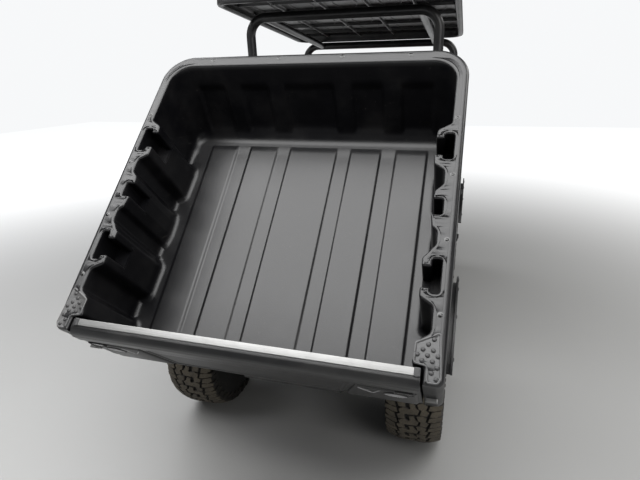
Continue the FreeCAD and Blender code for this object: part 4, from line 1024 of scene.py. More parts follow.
    def sunk(self, flat: Array, z: Array) -> Array:
        """How far the front wall's panels stand back at each sample.

        Each is 9 mm s(u) s(z) deep with smooth steps s at its edges.
        """
        out = np.zeros(len(flat))
        edge = self.panel_edge
        across = np.abs(flat[:, 0])
        for middle, wide in self.panels:
            inside = smooth((across - middle + wide + edge) / edge)
            inside *= smooth((middle + wide + edge - across) / edge)
            out = np.maximum(out, inside)
        front = flat[:, 1] > 980.0
        return out * front * 9.0 * smooth((1150.0 - z) / 22.0) * smooth((z - 938.0) / 16.0)

    def add_shelves(self, parts: MeshParts, z: float) -> None:
        """Flat shelf under each pocket, between the wall and the pocket's outline."""
        plain = self.side_run(False)
        full = self.side_run(True)
        for *_, t0, t1 in self.pockets:
            low, high = t0 - self.lip, t1 + self.lip
            start, end = (int(np.argmin(np.hypot(full[:, 0] - np.interp(v, plain[20:, 1], plain[20:, 0]),
                                                 full[:, 1] - v))) for v in (low, high))
            inside = (plain[:, 1] > low) & (plain[:, 1] < high) & (np.arange(len(plain)) > 20)
            loop = np.vstack([full[start:end + 1], plain[inside][::-1]])
            for side in (1.0, -1.0):
                flat = np.column_stack([loop[:, 0] * side, loop[:, 1], np.full(len(loop), z)])
                parts.flat(BED.lift(flat))

    def add_floor(self, parts: MeshParts) -> None:
        """Ribbed floor: height field with sunk channels, and the plain border round it.

        The depth of a channel from a to b at u is d s((u - a) / e) s((b - u) / e), faded out by a
        smooth step before the front wall.
        """
        h = self.floor_half
        u = np.linspace(-h, h, 255)
        v = np.concatenate([[self.wall_start], np.linspace(self.wall_start + 14, self.floor_end, 58)])
        across, ahead = np.meshgrid(u, v)
        edge = 10.0
        sink = np.zeros_like(across)
        for a, b in self.channels:
            for s in (1.0, -1.0):
                x = across * s
                sink = np.maximum(sink, smooth((x - a) / edge) * smooth((b - x) / edge) * self.channel_depth)
        sink *= 1.0 - smooth((ahead - 925.0) / 42.0) * 0.35
        border = smooth((np.abs(across) - (h - 14.0)) / 10.0) * self.edge_drop
        close = smooth((ahead - self.floor_end + 16.0) / 14.0)
        level = self.floor - np.maximum(sink, border)
        level = level + (self.floor - self.edge_drop - level) * close
        places = np.stack([across, ahead, level], axis=-1)
        parts.grid(BED.lift(places), mark=1.0)
        rim = np.vstack([places[:, 0], places[-1, 1:], places[::-1, -1][1:]])
        loop = np.vstack([rim, self.floor_edge])
        loop[:, 2] = self.floor - self.edge_drop
        parts.flat(BED.lift(loop), mark=1.0)

    def build(self) -> bpy.types.Object:
        """Build the tub as one sheet with a wall behind it."""
        parts = MeshParts()
        self.add_rim(parts)
        self.add_walls(parts)
        self.add_floor(parts)
        item = parts.build("bed_liner", BED_PLASTIC, weld=4e-5, sharp=50.0, attribute="polish")
        add_solidify(item, self.skin * 0.001)
        return ride_on(item, "bed", BED_PLASTIC, "bed_tub")


@dataclass
class RimTrim:
    """Studded grip pads on the rim's rear corners, and the rim's screws, in mm."""

    rim: float = 1234.0
    outline: tuple[tuple[float, float], ...] = (
        (622.0, 108.0), (632.0, -22.0), (622.0, -40.0), (590.0, -40.0), (588.0, 5.0), (551.0, 10.0),
        (551.0, 70.0))

    def studs(self) -> Array:
        """Staggered columns of studs inside the pad's outline: (n, 2)."""
        places = []
        for i, v in enumerate(np.arange(-26.0, 100.0, 15.5)):
            for u in np.arange(561.0 + (14.0 if i % 2 else 0.0), 626.0, 28.0):
                places.append((u, v))
        spots = np.array(places)
        inside = self.inside(spots, 9.5)
        return spots[inside]

    def inside(self, spots: Array, margin: float) -> Array:
        """Whether each spot lies within the outline by a margin: right of every wall of the path.

        The signed distance to each edge is its cross product with the spot over its length.
        """
        line = np.array(self.outline)
        far = np.full(len(spots), 1e9)
        odd = np.zeros(len(spots), dtype=bool)
        for a, b in zip(line, np.roll(line, -1, axis=0)):
            d = b - a
            t = np.clip(((spots - a) @ d) / (d @ d), 0, 1)
            far = np.minimum(far, np.linalg.norm(spots - (a + t[:, None] * d), axis=1))
            crosses = ((a[1] > spots[:, 1]) != (b[1] > spots[:, 1]))
            safe = np.where(abs(b[1] - a[1]) < 1e-9, 1e-9, b[1] - a[1])
            odd ^= crosses & (spots[:, 0] < (b[0] - a[0]) * (spots[:, 1] - a[1]) / safe + a[0])
        return odd & (far > margin)

    def build(self) -> list[bpy.types.Object]:
        """Build both pads as one piece and the screws as another."""
        parts = MeshParts()
        line = rounded_path(np.array(self.outline), 9.0, 3.0, closed=True)
        turn = signed_area(line)
        away = edge_normals(line) * math.copysign(1.0, turn)
        section = ((0.0, -0.6), (0.0, 2.4), (-1.2, 3.4), (-4.5, 3.4), (-5.8, 2.2), (-7.0, 1.2))
        stud = ((7.0, 0.0), (6.4, 2.1), (5.0, 3.1), (3.0, 3.5), (0.02, 3.6))
        spots = self.studs()
        for side in (1.0, -1.0):
            levels = [np.column_stack([(line + away * d) * (side, 1.0), np.full(len(line), self.rim + z)])
                      for d, z in section]
            places = BED.lift(np.stack(levels))
            parts.grid(places, loop_columns=True, flip=(turn > 0) != (side > 0))
            parts.flat(places[-1])
            parts.turned(stud, 12, [BED.matrix((u * side, v, self.rim + 1.0)) for u, v in spots], slot=1)
        pads = parts.build("rim_pads", PAD_PLASTIC, TRIM_PLASTIC, sharp=50.0)
        return [ride_on(pads, "bed", PAD_PLASTIC, "bed_pads"), self.screws()]

    def screws(self) -> bpy.types.Object:
        """Round headed screws along the rim: a washer, a domed head and its recess."""
        parts = MeshParts()
        profile = ((9.0, 0.0), (8.8, 0.9), (6.0, 1.2), (5.6, 1.4), (5.2, 3.0), (3.4, 3.9), (2.6, 4.0),
                   (2.3, 2.4), (0.02, 2.3))
        spots = [(s * 613.0, v) for s in (1, -1) for v in (156.0, 396.0, 634.0, 871.0)]
        spots += [(-118.0, 1178.0), (150.0, 1178.0), (-420.0, 1176.0), (420.0, 1176.0)]
        parts.turned(profile, 18, [BED.matrix((u, v, self.rim)) for u, v in spots])
        return ride_on(parts.build("rim_screws", STRUT_BLACK), "bed", STRUT_BLACK)


# wheels

@dataclass
class Wheel:
    """One all-terrain tyre of separate tread blocks, and the trim on its wheel, in mm."""

    corner: str
    radius: float = 333.0
    width: float = 236.0
    bead: float = 158.0
    pitches: int = 34
    groove: float = 11.0

    @property
    def side(self) -> float:
        """1 on the right and -1 on the left."""
        return 1.0 if self.corner.endswith("right") else -1.0

    @property
    def centre(self) -> Array:
        """Middle of the tyre in mm in the frame."""
        low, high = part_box("tyre_" + self.corner)
        return (np.array(low) + np.array(high)) * 500.0

    def section(self) -> Array:
        """Carcass section from the inner bead over the crown to the outer bead: (n, 2) radius and offset."""
        h, r, b = self.width / 2, self.radius - self.groove, self.bead
        corners = np.array([(b, -h + 10), (b + 12, -h + 4), (b + 48, -h - 0.0), (r - 66, -h + 2),
                            (r - 24, -h + 14),
                            (r - 6, -h + 46), (r, 0.0), (r - 6, h - 46), (r - 24, h - 14), (r - 66, h - 2),
                            (b + 48, h), (b + 12, h - 4), (b, h - 10)])
        return rounded_path(corners, [0, 6, 30, 40, 30, 60, 0, 60, 30, 40, 30, 6, 0], 9.0)

    def crown(self, offset: Array) -> Array:
        """Radius of the tread's top at an offset across: flat in the middle and falling to the shoulders."""
        t = np.abs(offset) / (self.width / 2)
        return self.radius - 20.0 * np.clip(t - 0.35, 0, None) ** 2 / 0.42 - 3.0 * t ** 2

    def wrap(self, along: Array, offset: Array, drop: Array) -> Array:
        """Bend a flat tread pattern round the tyre.

        A spot (s, w) at depth d goes to the angle s / R and the radius crown(w) - d.

        Args:
            along: mm round the tread.
            offset: mm across.
            drop: mm below the tread's top.

        Returns:
            (n, 3) metres in the frame.
        """
        a = along / self.radius
        r = self.crown(offset) - drop
        x, y, z = self.centre
        return np.stack([x + offset * self.side, y + r * np.sin(a), z + r * np.cos(a)], axis=-1) * 0.001

    def blocks(self) -> list[tuple[Array, float]]:
        """Outlines of one pitch's blocks, (n, 2) round and across, each with how far it reaches down."""
        p = math.tau * self.radius / self.pitches
        middle = np.array([(0.04, -21), (0.40, -27), (0.52, -10), (0.90, -15), (0.97, 3), (0.62, 12),
                           (0.50, 26), (0.12, 20)])
        inner = np.array([(0.10, 30), (0.52, 34), (0.60, 22), (0.95, 17), (1.08, 40), (0.88, 58), (0.55, 52),
                          (0.40, 66), (0.08, 58)])
        shoulder = np.array([(0.02, 70), (0.44, 76), (0.50, 112), (0.10, 114), (-0.04, 96)])
        wide = np.array([(0.56, 62), (0.92, 68), (0.96, 90), (0.90, 117), (0.58, 117), (0.52, 86)])
        found = []
        for shape, deep in ((middle, 12.0), (inner, 12.0), (shoulder, 15.0), (wide, 15.0)):
            flat = shape * (p, 1.0)
            found.append((flat, deep))
            if shape is not middle:
                found.append(((flat + (p * 0.5, 0.0)) * (1.0, -1.0), deep))
        return found

    def add_blocks(self, parts: MeshParts) -> None:
        """Tread blocks: each a rounded top over slightly flared walls, repeated round the tyre."""
        p = math.tau * self.radius / self.pitches
        turns = np.arange(self.pitches) * p
        for flat, deep in self.blocks():
            centre = flat.mean(axis=0)
            if signed_area(flat) < 0:
                flat = flat[::-1]
            levels = []
            for grow, drop, mark in ((1.10, deep, 0.0), (1.02, 2.2, 0.25), (0.97, 0.5, 0.9),
                                     (0.86, 0.0, 1.0)):
                levels.append((centre + (flat - centre) * grow, drop, mark))
            n = len(flat)
            pattern = np.concatenate([l[0] for l in levels] + [centre[None]])
            drop = np.concatenate([np.full(n, l[1]) for l in levels] + [[0.0]])
            mark = np.concatenate([np.full(n, l[2]) for l in levels] + [[1.0]])
            quads = []
            for k in range(len(levels) - 1):
                i = np.arange(n)
                j = (i + 1) % n
                quads.append(np.stack([k * n + i, k * n + j, (k + 1) * n + j, (k + 1) * n + i], axis=1))
            i = np.arange(n)
            top = (len(levels) - 1) * n
            fan = np.stack([top + i, top + (i + 1) % n, np.full(n, len(levels) * n)], axis=1)
            along = pattern[None, :, 0] + turns[:, None]
            across = np.repeat(pattern[None, :, 1], len(turns), axis=0)
            places = self.wrap(along, across, np.repeat(drop[None], len(turns), axis=0)).reshape(-1, 3)
            shift = np.arange(len(turns))[:, None, None] * len(pattern)
            marks = np.tile(mark, len(turns))
            turn = self.side > 0
            for faces in (np.concatenate(quads), fan):
                full = (faces[None] + shift).reshape(-1, faces.shape[1])
                parts.add(places, full[:, ::-1] if turn else full, 0, marks)

    def add_lugs(self, parts: MeshParts) -> None:
        """Low lugs that run from the shoulder down the sidewall, one for each shoulder block."""
        p = math.tau * self.radius / self.pitches
        h = self.width / 2
        base = np.array([(-0.17, 0.0), (0.17, 0.0), (0.13, 1.0), (-0.13, 1.0)])
        for hand in (1.0, -1.0):
            for k, long in ((0, 44.0), (1, 30.0)):
                order = np.arange(self.pitches) + 0.27 + 0.47 * k + (0.5 if hand < 0 else 0.0)
                spin = order * p / self.radius
                rows_ = []
                for raise_, grow in ((-2.0, 1.12), (3.2, 1.0)):
                    a = base[:, 0] * grow * p / self.radius
                    r = self.radius - 22.0 - base[:, 1] * long
                    w = h + np.array([-11.0, -11.0, 0.0, 0.0]) + raise_
                    rows_.append(np.stack([a, r, w], axis=1))
                shape = np.concatenate(rows_)
                angle = shape[None, :, 0] + spin[:, None]
                x, y, z = self.centre
                places = np.stack([x + hand * np.repeat(shape[None, :, 2], len(spin), axis=0) * self.side,
                                   y + shape[None, :, 1] * np.sin(angle),
                                   z + shape[None, :, 1] * np.cos(angle)], axis=-1).reshape(-1, 3) * 0.001
                quads = np.array([(4, 5, 6, 7), (0, 1, 5, 4), (1, 2, 6, 5), (2, 3, 7, 6), (3, 0, 4, 7)])
                shift = np.arange(len(spin))[:, None, None] * len(shape)
                full = (quads[None] + shift).reshape(-1, 4)
                flip = hand * self.side > 0
                parts.add(places, full[:, ::-1] if flip else full, 0, 0.15)

    def tyre(self) -> bpy.types.Object:
        """Build the tyre: carcass, blocks and lugs."""
        parts = MeshParts()
        section = self.section()
        x, y, z = self.centre
        cos, sin = ring(1.0, 120)
        places = np.stack([x + self.side * np.repeat(section[:, 1:2], 120, axis=1),
                           y + np.outer(section[:, 0], sin),
                           z + np.outer(section[:, 0], cos)], axis=-1) * 0.001
        parts.grid(places, loop_columns=True, flip=self.side < 0)
        self.add_blocks(parts)
        self.add_lugs(parts)
        item = parts.build("tread_" + self.corner, TREAD_RUBBER, attribute="tread", weld=0.0, sharp=40.0)
        return ride_on(item, "wheel_" + self.corner, TREAD_RUBBER, "tyre_" + self.corner)

    def trim(self) -> bpy.types.Object:
        """Build the centre cap and the wheel nuts of the wheel."""
        parts = MeshParts()
        out = (self.side, 0.0, 0.0)
        hub = self.centre + (self.side * 66.0, 0.0, 0.0)
        nut = ((9.5, -2.0), (9.5, 9.0), (8.0, 11.0), (6.0, 12.0), (4.0, 15.0), (0.02, 15.4))
        cap = ((21.0, -1.0), (21.0, 7.0), (19.0, 9.5), (12.0, 11.0), (0.02, 11.5))
        spots = [placed((hub + (0.0, c, s)) * 0.001, out) for c, s in zip(*ring(34.0, 4, math.pi / 4))]
        parts.turned(nut, 6, spots, slot=1)
        parts.turned(cap, 28, [placed(hub * 0.001, out)])
        item = parts.build("wheel_trim_" + self.corner, STRUT_BLACK, BOLT_ZINC)
        return ride_on(item, "wheel_" + self.corner, WHEEL_ALLOY)


# helpers shared by the body's pieces

def stand(places: Array) -> Array:
    """Metres in the frame of places in mm measured from the rear axle's middle on the ground."""
    out = np.array(places, dtype=float) * 0.001
    out[..., 1] += AXLE_Y
    return out


def stood(place: Sequence[float], axis: Sequence[float] = UP) -> Array:
    """Matrix that stands a shape along an axis at a place in mm from the rear axle's middle on the ground."""
    return placed(stand(np.array(place)), axis)


def plane(origin: Sequence[float], u: Sequence[float], v: Sequence[float],
          lift: Callable[[Array], Array] = stand) -> Callable[[Array], Array]:
    """Map of flat outlines onto a plane: a place (a, b, h) goes to origin + a u + b v + h (u x v).

    Args:
        origin: the plane's origin in mm.
        u: direction of the first coordinate.
        v: direction of the second coordinate.
        lift: maps mm to metres in the frame.

    Returns:
        The map of (..., 3) places.
    """
    o, a, b = (np.asarray(t, dtype=float) for t in (origin, u, v))
    w = np.cross(a, b)
    return lambda places: lift(o + places[..., :1] * a + places[..., 1:2] * b + places[..., 2:3] * w)


def rectangle(u0: float, u1: float, v0: float, v1: float, radius: float, step: float = 5.0) -> Array:
    """Outline of a rounded rectangle: (n, 2)."""
    return rounded_path(np.array([(u0, v0), (u1, v0), (u1, v1), (u0, v1)]), radius, step, closed=True)


def oval(u: float, v: float, half_u: float, half_v: float, count: int = 32) -> Array:
    """Outline of an ellipse: (u + a cos t, v + b sin t)."""
    cos, sin = ring(1.0, count)
    return np.stack([u + half_u * cos, v + half_v * sin], axis=1)


def box_section(top: float, bevel: float = 1.2, foot: float = -0.6) -> list[tuple[float, float]]:
    """Steps of a plate that stands to a height with a soft upper edge."""
    return [(0.0, foot), (0.0, top - bevel), (bevel * 0.3, top - bevel * 0.3), (bevel, top)]


BOLT_HEAD = ((0.02, -0.5), (7.6, -0.5), (7.6, 0.9), (6.0, 1.1), (6.0, 4.6), (5.2, 5.4), (0.02, 5.4))
SCREW_HEAD = ((8.0, 0.0), (7.6, 2.0), (5.0, 3.4), (2.4, 3.4), (2.2, 2.0), (0.02, 2.0))


class Slot(Enum):
    """Material slots of the record."""

    FRAME = "frame_steel"
    CAGE = "cage_black"
    ROOF = "roof_plastic"
    SEAT = "seat_vinyl"
    TRIM = "trim_plastic"
    PAINT = "body_paint"
    CLEAR = "lamp_clear"
    RED = "lamp_red"
    DARK = "lamp_dark"
    CAST = "cast_alloy"
    EXHAUST = "exhaust_steel"
    SHAFT = "shaft_steel"
    STRUT = "strut_black"
    BED = "bed_plastic"
    STRIP = "strip_aluminium"
    TYRE = "tyre"
    RIM = "rim_alloy"


# tailgate

@dataclass
class Tailgate:
    """Gate skin with a rolled band, facets, lamps, mesh lens and bright top strip, in the lowered bed's mm."""

    half: float = 576.0
    top: float = 1231.0
    foot: float = 912.0
    strip_half: float = 565.0
    strip_width: float = 23.0

    def skin(self, parts: MeshParts) -> None:
        """Hollow looking shell: its side profile swept across and closed at both ends."""
        t = self.top
        profile = np.array([(0.0, self.foot), (0.0, t), (-34.0, t), (-52.0, t - 8.0), (-58.0, t - 26.0),
                            (-58.0, t - 66.0), (-48.0, t - 84.0), (-44.0, self.foot)])
        line = rounded_path(profile, [2.0, 4.0, 12.0, 9.0, 9.0, 5.0, 7.0, 2.0], 4.0, closed=True)
        sweep = plane((0.0, 0.0, 0.0), AHEAD, UP, BED.lift)
        h = self.half
        parts.plate(line, [(4.0, -h), (1.2, -h + 1.2), (0.0, -h + 4.0), (0.0, h - 4.0), (1.2, h - 1.2),
                           (4.0, h)], sweep)

    def facets(self, parts: MeshParts) -> None:
        """Raised facet at both ends, the dished panel between them and pressed panels inside."""
        h, t, f = self.half, self.top, self.foot
        raised = [(0.0, -1.5), (0.0, 6.0), (1.4, 8.2), (5.0, 11.0)]
        for side in (1.0, -1.0):
            outline = np.array([(h - 250.0, f + 16.0), (h - 12.0, f + 16.0), (h - 12.0, t - 126.0),
                                (h - 196.0, t - 126.0)])
            line = rounded_path(outline * (side, 1.0), 9.0, 5.0, closed=True)
            rear = plane((0.0, -42.0, 0.0), ACROSS, UP, BED.lift)
            parts.plate(line, raised, rear)
            # Thin pale grey rib along each facet's upper edge: a painted highlight of that edge.
            rib = rounded_path(np.array([(h - 190.0, t - 138.0), (h - 148.0, t - 196.0),
                                         (h - 120.0, t - 136.0)]) * (side, 1.0), 5.0, 4.0)
            path = np.column_stack([rib[:, 0], np.full(len(rib), -53.4), rib[:, 1]])
            parts.grid(tube_along(BED.lift(path), 0.0019, 8), loop_columns=True, slot=1)
        middle = rounded_path(np.array([(-h + 262.0, f + 22.0), (h - 262.0, f + 22.0), (h - 210.0, t - 108.0),
                                        (-h + 210.0, t - 108.0)]), 16.0, 6.0, closed=True)
        rear = plane((0.0, -45.5, 0.0), ACROSS, UP, BED.lift)
        parts.plate(middle, [(0.0, -2.0), (0.0, 3.4), (1.2, 4.6), (5.0, 5.2), (10.0, 4.6), (12.5, 2.0),
                             (16.0, 1.2)], rear)
        inner = plane((0.0, 0.0, 0.0), (-1.0, 0.0, 0.0), UP, BED.lift)
        for u0, u1 in ((-540.0, -200.0), (-180.0, 180.0), (200.0, 540.0)):
            parts.plate(rectangle(u0, u1, f + 40.0, t - 60.0, 22.0), [(0.0, -0.5), (0.8, 1.2), (4.0, 2.4)],
                        inner)

    def build(self) -> list[bpy.types.Object]:
        """Build the gate, the strip, the lamps and the latch plates."""
        parts = MeshParts()
        self.skin(parts)
        self.facets(parts)
        gate = ride_on(parts.build("gate_skin", GATE_PLASTIC, PALE_GREY_AND_HIGHLIGHT, sharp=42.0), "tailgate",
                       GATE_PLASTIC, "tailgate_panel")
        return [gate, self.strip(), *self.lamps(), self.latches()]

    def strip(self) -> bpy.types.Object:
        """Aluminium strip with eased edges and its black end clips."""
        parts = MeshParts()
        flat = plane((0.0, 0.0, self.top), ACROSS, AHEAD, BED.lift)
        h, w = self.strip_half, self.strip_width
        parts.plate(rectangle(-h, h, -w, -1.0, 1.5, 12.0), [(0.0, -0.2), (0.0, 2.2), (0.25, 2.8), (0.9, 3.1)],
                    flat)
        for side in (1.0, -1.0):
            clip = rectangle(side * (h - 3.0) - 5.0, side * (h - 3.0) + 13.0, -w - 3.0, 0.4, 2.5, 4.0)
            parts.plate(clip, [(0.0, -3.0), (0.0, 3.6), (0.6, 4.4), (2.0, 4.8)], flat, slot=1)
        return ride_on(parts.build("gate_strip", EDGE_ALUMINIUM, TRIM_PLASTIC), "tailgate", EDGE_ALUMINIUM,
                       "tailgate_strip")

    def lamps(self) -> list[bpy.types.Object]:
        """Slim lamps under the band, and an oval of crossed wires in a moulded frame on both facets."""
        frames, lenses = MeshParts(), MeshParts()
        rear = plane((0.0, -48.0, 0.0), ACROSS, UP, BED.lift)
        z = self.top - 104.0
        for side in (1.0, -1.0):
            u = side * (self.half - 46.0)
            frames.plate(rectangle(u - 30.0, u + 30.0, z - 16.0, z + 16.0, 5.0, 3.0),
                         [(0.0, -1.0), (0.0, 10.0), (1.0, 11.8), (2.6, 12.0), (3.6, 11.0), (4.0, 6.0)], rear)
            lenses.plate(rectangle(u - 26.2, u + 26.2, z - 12.2, z + 12.2, 3.0, 3.0),
                         [(0.0, 4.0), (0.0, 9.0), (1.5, 10.4), (5.0, 11.0)], rear)
            self.wire_oval(frames, lenses, side * 500.0, 1056.0)
        rims = ride_on(frames.build("gate_lamp_frames", TRIM_PLASTIC, PALE_GREY_AND_HIGHLIGHT), "tailgate", TRIM_PLASTIC)
        lens = ride_on(lenses.build("gate_lenses", LENS_DARK), "tailgate", LENS_DARK, "tailgate_lamps")
        return [rims, lens]

    @staticmethod
    def wire_oval(frames: MeshParts, lenses: MeshParts, u: float, z: float) -> None:
        """Oval grille: a rolled frame, a dark ground and wires crossing it both ways."""
        rear = plane((0.0, -53.0, 0.0), ACROSS, UP, BED.lift)
        a, b = 40.0, 31.0
        frames.plate(oval(u, z, a, b, 44),
                     [(0.0, -1.5), (0.4, 2.0), (2.0, 3.6), (4.0, 3.6), (5.4, 2.2), (6.0, 0.6)], rear)
        lenses.plate(oval(u, z, a - 6.5, b - 6.5, 36), [(0.0, -0.5), (0.0, 0.9), (2.0, 1.4)], rear)
        for k in np.arange(-42.0, 43.0, 7.0):
            for lean in (1.0, -1.0):
                t = np.linspace(-60.0, 60.0, 121)
                line = np.stack([k + lean * 0.8 * t, t], axis=1)
                line = line[(line[:, 0] / (a - 6.0)) ** 2 + (line[:, 1] / (b - 6.0)) ** 2 < 1.0]
                if len(line) > 3:
                    ends = line[[0, -1]]
                    path = np.column_stack([u + ends[:, 0], np.full(2, -55.2), z + ends[:, 1]])
                    frames.grid(tube_along(BED.lift(path), 0.0009, 4), loop_columns=True, slot=1)

    def latches(self) -> bpy.types.Object:
        """Folded zinc latch plates on the bed's rear posts, each with a striker and two bolts."""
        parts = MeshParts()
        rear = plane((0.0, -45.0, 0.0), ACROSS, UP, BED.lift)
        for side in (1.0, -1.0):
            u = side * 606.0
            parts.plate(rectangle(u - 18.0, u + 18.0, 1010.0, 1046.0, 3.0, 4.0), box_section(2.6), rear)
            parts.plate(rectangle(u - 18.0, u + 18.0, 1043.0, 1046.0, 1.0, 4.0), box_section(13.0), rear)
            parts.plate(rectangle(u - 16.0, u + 4.0, 1016.0, 1022.0, 1.5, 3.0), box_section(9.0), rear)
            spots = [BED.matrix((u + 10.0, -47.4, z), (0.0, -1.0, 0.0)) for z in (1018.0, 1034.0)]
            parts.turned(BOLT_HEAD, 6, spots)
        return ride_on(parts.build("gate_latches", EDGE_ALUMINIUM), "bed", EDGE_ALUMINIUM)


# roof

@dataclass
class Roof:
    """Moulded roof panel: rolled lip, crossed ribs with bosses below, raised panels on top, in mm."""

    rear: float = 300.0
    front: float = 1640.0
    half: float = 580.0
    height: float = 1856.0
    slope: float = 4.5

    def lift(self, places: Array) -> Array:
        """Lean places on the roof (across, ahead, up from the lip) with the roof.

        y' = (y - front) cos s + h sin s + front, z' = -(y - front) sin s + h cos s + height.
        """
        s = math.radians(self.slope)
        y = places[..., 1] - self.front
        out = np.empty(places.shape, dtype=float)
        out[..., 0] = places[..., 0]
        out[..., 1] = y * math.cos(s) + places[..., 2] * math.sin(s) + self.front
        out[..., 2] = -y * math.sin(s) + places[..., 2] * math.cos(s) + self.height
        return stand(out)

    def shell(self, parts: MeshParts) -> None:
        """Closed shell swept round its rounded outline from the underside over the lip to the top."""
        outline = rectangle(-self.half, self.half, self.rear, self.front, 90.0, 14.0)
        section = [(78.0, 47.0), (58.0, 46.5), (44.0, 45.0), (36.0, 40.0), (32.5, 30.0), (31.5, 14.0),
                   (29.5, 5.0),
                   (25.0, 1.0), (18.0, 0.0), (10.0, 0.6), (4.0, 3.4), (0.8, 8.4), (0.0, 15.0), (0.0, 29.0),
                   (2.0, 37.0), (7.5, 45.5), (15.5, 51.0), (25.0, 52.0), (42.0, 52.0)]
        parts.plate(outline, section, plane((0.0, 0.0, 0.0), ACROSS, AHEAD, self.lift))

    def rib_lines(self) -> tuple[list[float], list[float]]:
        """Where the long ribs stand across the roof, and where the cross ribs stand along it."""
        length = self.front - self.rear
        along = [self.half * k for k in (-0.6, -0.2, 0.2, 0.6)]
        return along, [self.rear + length * k / 6 for k in range(1, 6)]

    def ribs(self, parts: MeshParts) -> None:
        """Long and cross ribs under the panel, with a round boss where they meet."""
        down = plane((0.0, 0.0, 0.0), ACROSS, AHEAD, self.lift)
        along, across = self.rib_lines()
        section = [(-7.0, 47.4), (-3.0, 45.0), (-1.2, 41.0), (0.0, 34.0), (0.6, 31.2), (1.8, 30.0)]
        for y in across:
            parts.plate(rectangle(-self.half + 36.0, self.half - 36.0, y - 4.0, y + 4.0, 3.5, 16.0), section,
                        down)
        for x in along:
            parts.plate(rectangle(x - 4.0, x + 4.0, self.rear + 36.0, self.front - 36.0, 3.5, 16.0), section,
                        down)
        boss = [(-9.0, 47.4), (-4.0, 45.4), (-1.0, 41.0), (0.0, 33.0), (0.8, 30.2), (2.4, 29.2), (5.5, 29.2),
                (6.5, 32.0)]
        for x in along:
            for y in across:
                parts.plate(oval(x, y, 13.0, 13.0, 18), boss, down)
            # A thin pale grey bead along each long rib: a painted highlight of the rib's edge.
            y = np.linspace(self.rear + 52.0, self.front - 52.0, 24)
            path = np.stack([np.full_like(y, x), y, np.full_like(y, 29.6)], axis=1)
            parts.grid(tube_along(self.lift(path), 0.0014, 6), loop_columns=True, slot=2)

    def swirls(self, parts: MeshParts) -> None:
        """Low curved beads that stiffen each panel between the ribs: a pair of arcs in every bay."""
        along, across = self.rib_lines()
        edges_y = [self.rear + 40.0, *across, self.front - 40.0]
        edges_x = [-self.half + 40.0, *along, self.half - 40.0]
        t = np.linspace(0.0, 1.0, 15)
        for y0, y1 in zip(edges_y[:-1], edges_y[1:]):
            for x0, x1 in zip(edges_x[:-1], edges_x[1:]):
                for k in (0.34, 0.66):
                    bow = 0.10 * math.copysign(1.0, k - 0.5) * np.sin(t * math.pi)
                    x = x0 + (x1 - x0) * (k + bow)
                    path = np.stack([x, y0 + 8.0 + (y1 - y0 - 16.0) * t, np.full_like(t, 46.2)], axis=1)
                    parts.grid(tube_along(self.lift(path), 0.0032, 8), loop_columns=True)

    def top(self, parts: MeshParts) -> None:
        """Three long raised panels with raised strips on the upper side, and the mounting bolts."""
        up = plane((0.0, 0.0, 0.0), ACROSS, AHEAD, self.lift)
        raised = [(0.0, 51.0), (1.5, 53.0), (6.0, 55.6), (11.0, 56.4)]
        for u0, u1 in ((-500.0, -230.0), (-190.0, 190.0), (230.0, 500.0)):
            shape = rounded_path(np.array([(u0, self.rear + 70.0), (u1, self.rear + 70.0),
                                           (u1, self.front - 120.0),
                                           ((u0 + u1) / 2, self.front - 76.0), (u0, self.front - 120.0)]),
                                 34.0, 12.0, closed=True)
            parts.plate(shape, raised, up)
            for k in (0.3, 0.5, 0.7):
                u = u0 + (u1 - u0) * k
                parts.plate(rectangle(u - 5.0, u + 5.0, self.rear + 130.0, self.front - 190.0, 4.9, 12.0),
                            [(0.0, 55.5), (0.6, 57.6), (2.4, 59.0)], up)
        spots = [(x, y, 51.6) for x in (-530.0, 530.0) for y in (self.rear + 120.0, self.front - 120.0)]
        parts.turned(BOLT_HEAD, 6, [placed(self.lift(np.array(s))) for s in spots], slot=1)

    def build(self) -> list[bpy.types.Object]:
        """Build the roof and the clamps that hold it to the cage."""
        parts = MeshParts()
        self.shell(parts)
        self.ribs(parts)
        self.swirls(parts)
        self.top(parts)
        item = parts.build("roof_panel", ROOF_PLASTIC, BOLT_ZINC, PALE_GREY_AND_HIGHLIGHT, sharp=42.0)
        roof = ride_on(item, "chassis", ROOF_PLASTIC, "roof")
        return [roof, self.clamps()]

    def clamps(self) -> bpy.types.Object:
        """Split clamps round the cage's rear posts, each with its lug and pinch bolt."""
        parts = MeshParts()
        collar = ((24.2, -17.0), (27.5, -17.0), (28.6, -15.8), (28.6, 15.8), (27.5, 17.0), (24.2, 17.0))
        lug = ((0.02, -9.0), (7.0, -9.0), (7.0, 9.0), (0.02, 9.0))
        posts = [(s * 486.0, 590.0, z) for s in (1, -1) for z in (1150.0, 1212.0)]
        posts += [(s * 486.0, 590.0, 420.0) for s in (1, -1)]
        for x, y, z in posts:
            parts.turned(collar, 32, [stood((x, y, z))])
            ear = x - math.copysign(33.0, x)
            parts.turned(lug, 12, [stood((ear, y, z), AHEAD)])
            parts.turned(BOLT_HEAD, 6, [stood((ear, y - 9.0, z), (0.0, -1.0, 0.0))], slot=1)
        return ride_on(parts.build("cage_clamps", CAGE_BLACK, BOLT_ZINC), "chassis", CAGE_BLACK)


# cab

